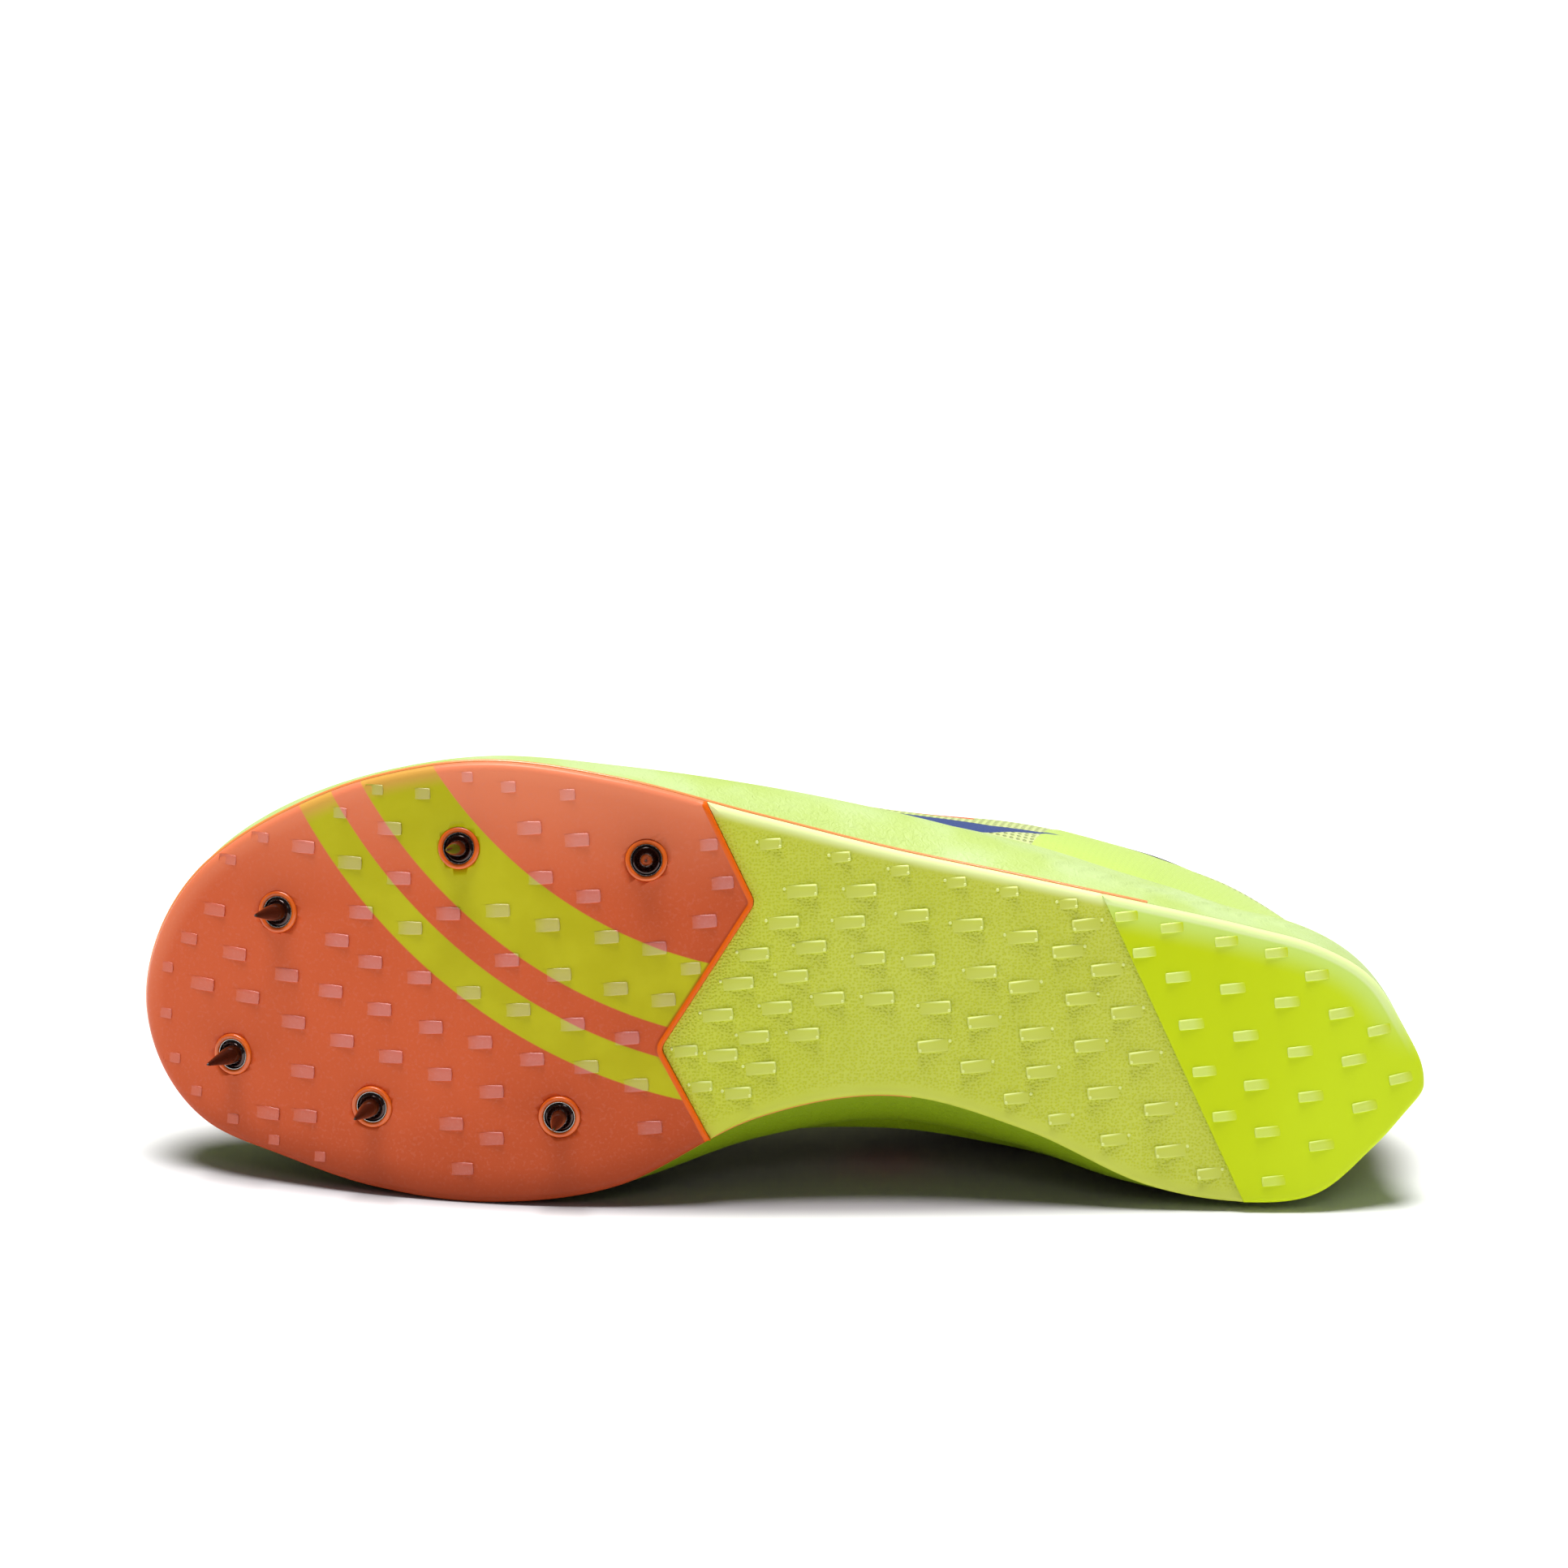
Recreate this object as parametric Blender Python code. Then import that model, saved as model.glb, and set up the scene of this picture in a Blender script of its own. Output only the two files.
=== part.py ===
"""A left cross country spike, lying on its inner side with the sole facing -Y.

The shoe is worked out standing, in millimetres: x runs forward from the heel tip, y runs from the
inner side of the foot to the outer side, and z rises from the ground under the ball. Points that go
round the shoe are placed by a loop angle: 0 at the heel, the outer side first, pi at the toe, then
the inner side back to the heel. At the end one empty lays the whole shoe on its inner side.
"""

import math

import bmesh
import bpy
import numpy as np
from mathutils import Matrix, Vector
from mathutils.bvhtree import BVHTree

MM = 0.001
TURN = 2 * math.pi
OUTER = 1
INNER = -1


def table(columns, *rows):
    """Columns of numbers by name, from the rows of a short table."""
    return dict(zip(columns.split(), np.array(rows, float).T))


# Driving sizes of the whole shoe
LENGTH = 285.0
GAP = 0.3
SIDE_STATIONS = 30
ANGLES = TURN * np.arange(2 * SIDE_STATIONS) / (2 * SIDE_STATIONS)
SHARP_ANGLE = math.radians(40)

# Plan of the sole face, one row for each section across the foot
SOLE = table(
    "x inner outer",
    (0.0, 25.5, 25.5),
    (4.5, 18.8, 37.8),
    (12.0, 11.0, 49.3),
    (24.0, 1.4, 56.7),
    (40.0, -0.5, 61.2),
    (62.0, 3.4, 66.1),
    (88.0, 15.1, 71.5),
    (118.0, 22.7, 77.6),
    (148.0, 17.7, 85.3),
    (178.0, 2.9, 93.2),
    (206.0, -1.4, 96.7),
    (232.0, 0.8, 92.4),
    (254.0, 6.6, 82.8),
    (270.0, 12.0, 71.4),
    (LENGTH, 39.0, 39.0),
)

# Plan of the last at the footbed, where the upper starts
LAST = table(
    "x inner outer",
    (6.5, 29.0, 29.0),
    (11.0, 19.4, 40.2),
    (19.0, 10.8, 48.8),
    (32.0, 3.8, 56.6),
    (46.0, 1.6, 61.0),
    (66.0, 4.2, 67.0),
    (90.0, 12.0, 74.0),
    (118.0, 17.3, 81.2),
    (148.0, 13.6, 87.4),
    (178.0, 4.2, 92.2),
    (206.0, 1.4, 94.6),
    (230.0, 3.4, 90.8),
    (250.0, 8.4, 83.4),
    (266.0, 13.6, 73.0),
    (LENGTH - 2.6, 39.3, 39.3),
)

# Rocker of the sole: toe spring, arch and heel bevel
SPRING_START = 174.0
SPRING_RADIUS = 210.0
ARCH_REAR = 60.0
ARCH_FRONT = 176.0
ARCH_RISE = 2.5
BEVEL_START = 28.0
BEVEL_RADIUS = 80.0

# Heights in the sole, up from the ground
OUTSOLE_TOP = 2.6
OUTSOLE_EDGE = 1.1
OUTSOLE_INSET = 1.6
PAD_RECESS = 1.0
HEEL_RECESS = 0.3
PLATE_LOW = OUTSOLE_TOP + GAP
PLATE_TOP = PLATE_LOW + 1.0
PLATE_POCKET = PLATE_TOP + GAP
BED_HEEL = 15.0
BED_BALL = 9.0
BED_FALL_FROM = 60.0
BED_FALL_TO = 190.0
WALL_WIDEST = 0.78
WALL_SHARES = (0.3, 0.65)
DISH_SHARES = (1.0, 0.66, 0.33)
DISH_GAP = 0.4
LIP_THICKNESS = 1.3

# Dividing lines on the sole face: the notched front one and the slanted rear one
FRONT_LINE = table(
    "x y",
    (168.0, 107.8),
    (148.0, 66.0),
    (168.7, 33.7),
    (138.4, -23.5),
)
REAR_LINE = table("x y", (85.3, 97.0), (26.2, -30.0))
PLATE_END = table("x y", (36.0, 88.0), (142.0, -2.0))

# Side of the shoe, by loop position: height of the foam lip over the ground and how far the foam wall
# swells past the last, then the rib of the upper, with its lean at the footbed and crown at the
# topline (degrees) and its two handle shares
SIDE = table(
    "side station lip bulge lean crown rise reach",
    (OUTER, 0, 24.0, 3.6, 14, 70, 0.35, 0.35),
    (OUTER, 16, 24.2, 4.8, 13, 80, 0.35, 0.35),
    (OUTER, 40, 24.5, 2.4, 2, 88, 0.35, 0.35),
    (OUTER, 85, 22.0, 2.8, 18, 62, 0.35, 0.35),
    (OUTER, 118, 20.5, 2.8, 6, 55, 0.40, 0.40),
    (OUTER, 148, 19.5, 2.8, -4, 40, 0.42, 0.45),
    (OUTER, 178, 17.0, 2.6, 4, 34, 0.30, 0.45),
    (OUTER, 206, 15.0, 2.2, 8, 38, 0.25, 0.45),
    (OUTER, 245, 13.5, 1.4, 5, 18, 0.25, 0.50),
    (OUTER, LENGTH, 13.0, 1.8, 6, 8, 0.20, 0.55),
    (INNER, 245, 13.5, 1.8, 6, 12, 0.28, 0.50),
    (INNER, 206, 15.0, 2.4, 5, 22, 0.30, 0.45),
    (INNER, 178, 17.5, 2.8, 3, 30, 0.40, 0.45),
    (INNER, 148, 20.0, 2.8, 6, 46, 0.40, 0.42),
    (INNER, 118, 22.5, 2.8, 25, 46, 0.35, 0.37),
    (INNER, 85, 24.0, 2.8, 20, 82, 0.35, 0.30),
    (INNER, 40, 25.0, 2.8, 6, 95, 0.35, 0.30),
    (INNER, 16, 24.6, 4.8, 13, 80, 0.35, 0.35),
)

# Topline of the upper: round the collar, down one side of the throat and back up the other
TOPLINE = table(
    "side station x y z",
    (OUTER, 0, 12.5, 30.0, 77.0),
    (OUTER, 24, 20.0, 47.0, 74.5),
    (OUTER, 45, 42.0, 61.5, 66.0),
    (OUTER, 70, 68.0, 69.0, 60.5),
    (OUTER, 95, 93.0, 71.0, 62.5),
    (OUTER, 118, 112.0, 64.5, 71.5),
    (OUTER, 138, 124.0, 58.5, 81.0),
    (OUTER, 165, 143.0, 57.0, 76.0),
    (OUTER, 190, 163.0, 56.0, 68.5),
    (OUTER, 215, 179.0, 55.0, 63.8),
    (OUTER, 245, 188.5, 53.0, 61.0),
    (OUTER, LENGTH, 193.0, 47.5, 59.8),
    (INNER, 245, 188.5, 42.0, 61.5),
    (INNER, 215, 179.0, 39.5, 64.8),
    (INNER, 190, 163.0, 37.0, 70.3),
    (INNER, 165, 143.0, 32.5, 78.5),
    (INNER, 138, 122.0, 26.5, 84.0),
    (INNER, 118, 109.0, 16.5, 76.0),
    (INNER, 95, 93.0, 6.0, 66.5),
    (INNER, 75, 75.0, 3.6, 61.0),
    (INNER, 48, 48.0, 5.0, 65.0),
    (INNER, 22, 22.0, 14.5, 73.5),
)

# Wall of the upper
WALL = 1.6
COLLAR_PADDING = 1.8
COLLAR_FROM = 0.70
COLLAR_FULL = 0.92
COLLAR_FRONT = 120.0
COLLAR_RUN = 24.0
EYESTAY_STEP = 0.7
EYESTAY_FROM = 0.80
EYESTAY_FULL = 0.83
EYESTAY_REAR = 124.0
EYESTAY_RUN = 12.0
SHARES = np.array([0.0, 0.1, 0.2, 0.32, 0.44, 0.56, 0.68, EYESTAY_FROM, EYESTAY_FULL, 0.92, 1.0])
LINING_SHARES = np.array([0.0, 0.1, 0.25, 0.45, 0.68, 0.83, 0.92, 1.0])
INWARD_BIAS = 20.0
HIGHEST_BRIM = 0.7
HALVINGS = 24

# Spikes: places on the sole face and their lean to the outer side, in degrees
SPIKES = table(
    "x y lean",
    (264.6, 28.6, -3),
    (254.0, 61.5, 4),
    (213.2, 77.7, 6),
    (232.9, 19.0, -4),
    (191.1, 18.3, -4),
    (171.9, 75.7, 8),
)
BOSS_RADIUS = 4.75
BOSS_RISE = 0.6
BOSS_FLOOR = -3.2
BOSS_CHAMFER = 0.4
BORE_RADIUS = 3.75
BORE_FLOOR = -2.9
HOLE_RADIUS = BOSS_RADIUS + GAP
ROUND_SIDES = 12
SPIKE_SIDES = 10
EYELET_SIDES = 8

# Turned profiles, out from the axis and away from the sole face
CUP = table(
    "radius height",
    (0.0, BORE_FLOOR + GAP),
    (BORE_RADIUS - GAP, BORE_FLOOR + GAP),
    (BORE_RADIUS - GAP, 0.2),
    (3.3, 0.4),
    (3.15, 0.3),
    (3.15, -1.6),
    (0.0, -1.6),
)
SPIKE = table(
    "radius height",
    (0.0, -1.3),
    (2.85, -1.3),
    (2.8, -0.4),
    (2.35, -0.25),
    (2.1, 1.4),
    (1.2, 6.4),
    (0.34, 10.8),
    (0.0, 11.6),
)

# Lugs: places of the wedges along and across the shoe. Each stands proud at one end: at its heel end in
# front of a slanting line over the arch, and at its toe end behind that line
FOREFOOT_LUGS = (
    (212, 93.5), (203, 91.5), (190, 90), (159, 79), (232, 90), (222, 89.5), (198.5, 82.5), (188, 80),
    (156, 70.5), (240.5, 84.5), (229.5, 81.5), (196, 71.5), (185.5, 67.5), (160, 62), (258, 78), (249, 76.5),
    (238.5, 73.5), (227.5, 70.5), (205.5, 64), (194.5, 61), (181.5, 58.5), (171, 56), (163, 51.5),
    (265.5, 72.5), (236, 62.5), (225, 59.5), (216.5, 63), (203.5, 53), (192, 50), (179.5, 47), (169, 44.5),
    (241.5, 56), (234, 51.5), (223, 48.5), (212, 45.5), (201, 42), (189, 39), (177, 36), (269.5, 61),
    (265, 51.5), (253, 47.5), (243, 44.5), (232, 41), (220.5, 37.5), (209.5, 34.5), (198, 31), (186, 29.5),
    (175, 25.5), (280.5, 47), (275.5, 54), (272.5, 44), (262, 42), (229.5, 30.5), (218.5, 27), (207, 23.5),
    (172, 16), (251.5, 37), (240.5, 33.5), (281, 36.5), (279, 26.5), (249.5, 26), (216, 16), (207, 13),
    (274, 19.5), (265.5, 14), (257.5, 16), (256, 10), (249, 16), (245.5, 7), (213.5, 6),
)
PAD_LUGS = (
    (145, 79), (129.5, 76), (116.5, 73), (104, 70.5), (92.5, 68.5), (79.5, 66), (75, 61.5), (138, 68.5),
    (125, 68.5), (113.5, 63), (101.5, 61), (89.5, 58.5), (79, 55.5), (70.5, 51.5), (142, 61.5),
    (127.5, 61.5), (112, 53), (98.5, 50.5), (88.5, 47.5), (76, 45), (66, 42), (148.5, 54.5), (136, 56),
    (123, 53.5), (108.5, 42.5), (97.5, 39.5), (86, 37), (74, 34.5), (62, 32), (152, 48), (140, 49.5),
    (132, 44.5), (121, 44.5), (108.5, 34), (99, 29.5), (84.5, 28.5), (71, 24), (58.5, 20.5), (156.5, 41),
    (148.5, 36), (143.5, 42.5), (137.5, 36.5), (90, 22.5), (80.5, 18), (68.5, 13.5), (56, 11), (47.5, 6),
    (163.5, 33), (155.5, 32), (147, 29), (160, 25), (152, 23.5),
)
HEEL_LUGS = (
    (66.5, 63.5), (56.5, 61), (44.5, 58), (33.5, 55.5), (24.5, 50.5), (62.5, 55.5), (55, 50), (43, 47.5),
    (31, 44.5), (19, 42), (10.5, 38), (52, 39.5), (40, 37), (28, 33.5), (16, 31.5), (5.5, 27), (49, 29),
    (37.5, 26), (25.5, 23.5), (13.5, 21), (44.5, 19), (35, 15.5), (23, 12.5), (33.5, 4.5),
)
RIM_STEPS = 400
LUG_LENGTH = 6.8
LUG_WIDTH = 2.9
LUG_HEIGHT = 1.3
LUG_FADE = -0.12
LUG_SINK = 0.5
LUG_TURNS = table("x degrees", (10, -10), (30, -5), (110, -5.5), (205, -3.5), (265, 4.5))
LUG_SMALLEST = 0.6
LUG_LEAST_ROOM = 3.0
LUG_FULL_ROOM = 9.0
LUG_LINE_SHARE = 1.4
LUG_SPLIT = 148.5
LUG_SPLIT_SLANT = 1.11

# Insole, tongue and laces
INSOLE_THICKNESS = 3.0
INSOLE_CLEARANCE = 0.7
INSOLE_CHAMFER = 0.4
TONGUE_THICKNESS = 2.2
TONGUE_CLEARANCE = 0.65
TONGUE = table(
    "station tuck",
    (277, 0.84),
    (268, 0.84),
    (255, 0.84),
    (240, 0.84),
    (224, 0.84),
    (208, 0.84),
    (192, 0.84),
    (176, 0.84),
    (162, 0.86),
    (150, 0.90),
    (141, 0.96),
)
TONGUE_TAIL = table("along up width", (-6.0, 3.0, 0.84), (-12.0, 6.5, 0.80), (-16.0, 9.5, 0.62))
TONGUE_STEPS = 7
LACE_WIDTH = 4.6
LACE_THICKNESS = 1.2
LACE_LIFT = 0.4
LACE_LAYER = 0.13
LACE_LAYERS = 4
LACE_STEPS = 10
EYELET_STATIONS = (233.0, 208.0, 191.0, 178.0, 164.0, 149.0)
EYELET_SHARE = 0.905
EYELET_RADIUS = 1.9
BRIDGE_PULL = 0.6
NEAR_EDGE = 0.97
RIB_STEPS = 4

# How far helper solids reach past what they cut
CUT_LOW = -30.0
CUT_HIGH = 75.0
CUT_REACH = 60.0
CUT_PAST = 7.0
CUT_SHIFT = 0.6 * GAP
POCKET_MARGIN = 8.0

# Resting on the inner side: the flats worn where it meets the floor, and a point well inside
FLAT_DEPTH = 0.4
FLOOR_SIZE = 400.0
FLOOR_DEPTH = 40.0
WEIGHT_CENTRE = Vector((140.0, 46.0, 24.0))


def smooth(at, knots, values, closed=False):
    """Cubic curve through the knots, whose slope at each knot comes from its neighbours."""
    if closed:
        knots = np.concatenate([knots[-3:] - TURN, knots, knots[:3] + TURN])
        values = np.concatenate([values[-3:], values, values[:3]])
    slopes = np.gradient(values, knots)
    k = np.clip(np.searchsorted(knots, at, side="right") - 1, 0, len(knots) - 2)
    span = knots[k + 1] - knots[k]
    t = (at - knots[k]) / span
    rest = 1 - t
    start = values[k] * (1 + 2 * t) + slopes[k] * span * t
    end = values[k + 1] * (1 + 2 * rest) - slopes[k + 1] * span * rest
    return start * rest ** 2 + end * t ** 2


def fade(at, low, high):
    """0 below low, 1 above high, and an even S between them."""
    t = np.clip((at - low) / (high - low), 0, 1)
    return t * t * (3 - 2 * t)


def unit(vectors):
    return vectors / np.linalg.norm(vectors, axis=-1, keepdims=True)


def loop_angle(side, station):
    """Loop angle of a station, its distance from the heel tip, on one side of the shoe."""
    turn = np.arccos(np.clip(1 - 2 * np.asarray(station) / LENGTH, -1, 1))
    return np.where(np.asarray(side) > 0, turn, TURN - turn)


def loop_column(columns, name, angle):
    """A column of a loop table, carried smoothly round the shoe."""
    knots = loop_angle(columns["side"], columns["station"])
    return smooth(np.mod(angle, TURN), knots, columns[name], closed=True)


def outline(plan, angle):
    """Point of a plan outline at a loop angle."""
    x = plan["x"]
    reach = x[-1] - x[0]
    turn = np.arccos(np.clip(1 - 2 * (x - x[0]) / reach, -1, 1))
    knots = np.concatenate([turn, TURN - turn[-2::-1]])
    values = np.concatenate([plan["outer"], plan["inner"][-2::-1]])
    angle = np.mod(angle, TURN)
    along = x[0] + reach * (1 - np.cos(angle)) / 2
    return np.stack([along, smooth(angle, knots, values)], -1)


def outward(plan, angle, step=0.05):
    """Direction square to a plan outline, away from the foot."""
    along = outline(plan, angle + step) - outline(plan, angle - step)
    return unit(np.stack([-along[..., 1], along[..., 0]], -1))


def ground(x):
    """Height of the sole face along the shoe."""
    spring = np.maximum(x - SPRING_START, 0)
    toe = SPRING_RADIUS - np.sqrt(SPRING_RADIUS ** 2 - spring ** 2)
    arch = ARCH_RISE * np.sin(np.pi * np.clip((x - ARCH_REAR) / (ARCH_FRONT - ARCH_REAR), 0, 1)) ** 2
    heel = np.maximum(BEVEL_START - x, 0) ** 2 / (2 * BEVEL_RADIUS)
    return toe + arch + heel


def bed(x):
    """Height of the footbed along the shoe."""
    return ground(x) + BED_HEEL + (BED_BALL - BED_HEEL) * fade(x, BED_FALL_FROM, BED_FALL_TO)


def raised(plan_points, height):
    """Plan points given the height of a surface above the sole face."""
    x = plan_points[..., 0]
    return np.concatenate([plan_points, (ground(x) + height)[..., None]], -1)


def sole_ring(offset, height):
    """Ring round the sole face, moved outward by an offset and up by a height."""
    return raised(outline(SOLE, ANGLES) + offset * outward(SOLE, ANGLES), height)


def rib(angle):
    """Four control points of the upper's rib at a loop angle, from footbed to topline."""
    plan = outline(LAST, angle)
    foot = np.concatenate([plan, (bed(plan[..., 0]) + GAP)[..., None]], -1)
    top = np.stack([loop_column(TOPLINE, name, angle) for name in "xyz"], -1)
    out = np.concatenate([outward(LAST, angle), np.zeros(np.shape(angle) + (1,))], -1)
    up = np.array([0.0, 0.0, 1.0])
    lean = np.radians(loop_column(SIDE, "lean", angle))[..., None]
    crown = np.radians(loop_column(SIDE, "crown", angle))[..., None]
    chord = np.linalg.norm(top - foot, axis=-1, keepdims=True)
    inward = unit((top - foot) * np.array([1.0, 1.0, 0.0]) - INWARD_BIAS * out)
    start = up * np.cos(lean) + out * np.sin(lean)
    end = inward * np.cos(crown) + up * np.sin(crown)
    first = foot + start * chord * loop_column(SIDE, "rise", angle)[..., None]
    second = top - end * chord * loop_column(SIDE, "reach", angle)[..., None]
    return foot, first, second, top


def upper_face(angle, share):
    """Point on the outside of the upper, at a share of its rib from footbed 0 to topline 1."""
    foot, first, second, top = rib(angle)
    t = np.asarray(share)[..., None]
    rest = 1 - t
    return foot * rest ** 3 + 3 * first * rest ** 2 * t + 3 * second * rest * t ** 2 + top * t ** 3


def upper_normal(angle, share, step=0.01):
    up_rib = upper_face(angle, share + step) - upper_face(angle, share - step)
    round_shoe = upper_face(angle + step, share) - upper_face(angle - step, share)
    return unit(np.cross(up_rib, round_shoe))


def upper_skin(angle, share, depth):
    """Point a given distance outside the upper's face, or inside it where negative."""
    depth = np.asarray(depth, float)[..., None]
    return upper_face(angle, share) + depth * upper_normal(angle, share)


def share_at(angle, height):
    """Share of the rib at which the upper reaches a height."""
    low = np.zeros_like(angle)
    high = np.full_like(angle, HIGHEST_BRIM)
    for _ in range(HALVINGS):
        middle = (low + high) / 2
        below = upper_face(angle, middle)[..., 2] < height
        low = np.where(below, middle, low)
        high = np.where(below, high, middle)
    return (low + high) / 2


def station_of(angle):
    return LENGTH * (1 - np.cos(angle)) / 2


def wall_depth(angle, share):
    """Thickness of the upper, padded along the collar."""
    collar = 1 - fade(station_of(angle), COLLAR_FRONT - COLLAR_RUN, COLLAR_FRONT)
    return WALL + COLLAR_PADDING * collar * fade(share, COLLAR_FROM, COLLAR_FULL)


def eyestay(angle, share):
    """Raised step of the eyestay, along the throat only."""
    beside_throat = fade(station_of(angle), EYESTAY_REAR, EYESTAY_REAR + EYESTAY_RUN)
    return EYESTAY_STEP * beside_throat * fade(share, EYESTAY_FROM, EYESTAY_FULL)


def up_the_rib(angle, low_share, depth):
    """Short line up the side of the throat, stopping short of its edge."""
    return [upper_skin(angle, share, depth) for share in np.linspace(low_share, 1, RIB_STEPS)[:-1]]


def over_throat(start_angle, end_angle, depth, steps):
    """Arched line from one edge of the throat to the other, a distance off the upper's face."""
    start = upper_skin(start_angle, 1.0, depth)
    end = upper_skin(end_angle, 1.0, depth)
    pull = BRIDGE_PULL * np.linalg.norm(end - start)
    leave = pull * unit(start - upper_skin(start_angle, NEAR_EDGE, depth))
    arrive = pull * unit(upper_skin(end_angle, NEAR_EDGE, depth) - end)
    line = []
    for t in np.linspace(0, 1, steps):
        rest = 1 - t
        line.append((start * (1 + 2 * t) + leave * t) * rest ** 2
                    + (end * (1 + 2 * rest) - arrive * rest) * t ** 2)
    return line


def ladder(first, size):
    """Faces that close a ring of points by rungs straight across the shoe."""
    half = size // 2
    faces = [(first, first + 1, first + size - 1)]
    for k in range(1, half - 1):
        faces.append((first + k, first + k + 1, first + size - k - 1, first + size - k))
    faces.append((first + half - 1, first + half, first + half + 1))
    return faces


def ring_faces(ring_count, size, closed):
    """Faces between neighbouring rings, with ladder ends or closed on themselves."""
    faces = []
    for ring in range(ring_count if closed else ring_count - 1):
        low = ring * size
        high = (ring + 1) % ring_count * size
        for k in range(size):
            after = (k + 1) % size
            faces.append((low + k, low + after, high + after, high + k))
    if not closed:
        faces += ladder(0, size) + ladder((ring_count - 1) * size, size)
    return faces


def ring_mesh(rings, closed=False):
    rings = np.asarray(rings)
    return rings.reshape(-1, 3), ring_faces(rings.shape[0], rings.shape[1], closed)


def sheet_mesh(top, bottom):
    """Closed mesh between two sheets of points on the same grid."""
    rows, columns = top.shape[:2]
    count = rows * columns
    faces = []
    for row in range(rows - 1):
        for column in range(columns - 1):
            corner = row * columns + column
            face = (corner, corner + 1, corner + columns + 1, corner + columns)
            faces.append(face)
            faces.append(tuple(count + k for k in face[::-1]))
    rim = [column for column in range(columns)]
    rim += [row * columns + columns - 1 for row in range(1, rows)]
    rim += [(rows - 1) * columns + column for column in range(columns - 2, -1, -1)]
    rim += [row * columns for row in range(rows - 2, 0, -1)]
    for here, after in zip(rim, rim[1:] + rim[:1]):
        faces.append((after, here, count + here, count + after))
    return np.concatenate([top.reshape(-1, 3), bottom.reshape(-1, 3)]), faces


def rows_of(columns):
    return list(zip(columns["radius"], columns["height"]))


def pin_profile(radius, low):
    """Plain round pin from a height to well past the face."""
    return (0, low), (radius, low), (radius, CUT_PAST), (0, CUT_PAST)


def turned_mesh(profile, sides):
    """Round mesh from (radius, height) rows that start and end on the axis."""
    points = [(0.0, 0.0, profile[0][1])]
    for radius, height in profile[1:-1]:
        for k in range(sides):
            turn = TURN * k / sides
            points.append((radius * math.cos(turn), radius * math.sin(turn), height))
    points.append((0.0, 0.0, profile[-1][1]))
    last = len(points) - 1
    faces = []
    for k in range(sides):
        after = (k + 1) % sides
        faces.append((0, 1 + after, 1 + k))
        for ring in range(len(profile) - 3):
            low = 1 + ring * sides
            faces.append((low + k, low + after, low + sides + after, low + sides + k))
        faces.append((last - sides + k, last - sides + after, last))
    return np.array(points), faces


def prism_mesh(corners, low=CUT_LOW, high=CUT_HIGH):
    """Upright prism over a plan polygon."""
    count = len(corners)
    points = [(x, y, z) for z in (low, high) for x, y in corners]
    faces = [tuple(range(count))[::-1], tuple(range(count, 2 * count))]
    for k in range(count):
        after = (k + 1) % count
        faces.append((k, after, count + after, count + k))
    return np.array(points), faces


def joined(meshes):
    """Several closed meshes in one list of points and faces."""
    points = []
    faces = []
    start = 0
    for mesh_points, mesh_faces in meshes:
        points.append(mesh_points)
        faces += [tuple(start + k for k in face) for face in mesh_faces]
        start += len(mesh_points)
    return np.concatenate(points), faces


def moved(mesh, matrix):
    points, faces = mesh
    return np.array([matrix @ Vector(point) for point in points]), faces


def finish(name, colour, roughness, metallic=0.0):
    """Material with one Principled shader."""
    material = bpy.data.materials.new(name)
    material.use_nodes = True
    shader = material.node_tree.nodes["Principled BSDF"]
    shader.inputs["Base Color"].default_value = (*colour, 1.0)
    shader.inputs["Roughness"].default_value = roughness
    shader.inputs["Metallic"].default_value = metallic
    return material


def add_mesh(name, mesh):
    """Mesh data in metres, faces outward, shaded smooth apart from its sharp edges."""
    points, faces = mesh
    data = bpy.data.meshes.new(name)
    data.from_pydata((points * MM).tolist(), [], faces)
    work = bmesh.new()
    work.from_mesh(data)
    bmesh.ops.recalc_face_normals(work, faces=work.faces)
    work.to_mesh(data)
    work.free()
    data.shade_smooth()
    data.set_sharp_from_angle(angle=SHARP_ANGLE)
    return data


def add_object(name, data, shoe):
    thing = bpy.data.objects.new(name, data)
    bpy.context.scene.collection.objects.link(thing)
    thing.parent = shoe
    return thing


def add_piece(name, mesh, material, shoe):
    data = add_mesh(name, mesh)
    data.materials.append(material)
    return add_object(name, data, shoe)


def add_cutter(name, mesh, shoe):
    """Helper solid that shapes another piece and doesn't show."""
    cutter = add_object(name, add_mesh(name, mesh), shoe)
    cutter.hide_render = True
    cutter.display_type = "WIRE"
    return cutter


def shape(piece, operation, cutter):
    """Boolean of a piece with a helper solid."""
    change = piece.modifiers.new(cutter.name, "BOOLEAN")
    change.operation = operation
    change.object = cutter
    change.solver = "EXACT"


def aimed(place, axis):
    """Frame at a place with Z along an axis."""
    return Matrix.Translation(place) @ axis.to_track_quat("Z", "Y").to_matrix().to_4x4()


def seat_matrix(x, y, lean):
    """Frame of a spike in millimetres: origin on the sole face, Z along the spike, away from it."""
    reach = 0.5
    slope = (ground(x + reach) - ground(x - reach)) / (2 * reach)
    square = Vector((slope, 0.0, -1.0)).normalized()
    turn = math.radians(lean)
    axis = square * math.cos(turn) + Vector((0.0, 1.0, 0.0)) * math.sin(turn)
    return aimed((x, y, float(ground(x))), axis)


def seats():
    return [seat_matrix(*row) for row in zip(SPIKES["x"], SPIKES["y"], SPIKES["lean"])]


def at_seats(profile):
    """One mesh that repeats a turned profile at every spike."""
    mesh = turned_mesh(profile, ROUND_SIDES)
    return joined([moved(mesh, seat) for seat in seats()])


def line_x(line, y):
    """Place of a dividing line along the shoe, at a place across it."""
    order = np.argsort(line["y"])
    return np.interp(y, line["y"][order], line["x"][order])


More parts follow.
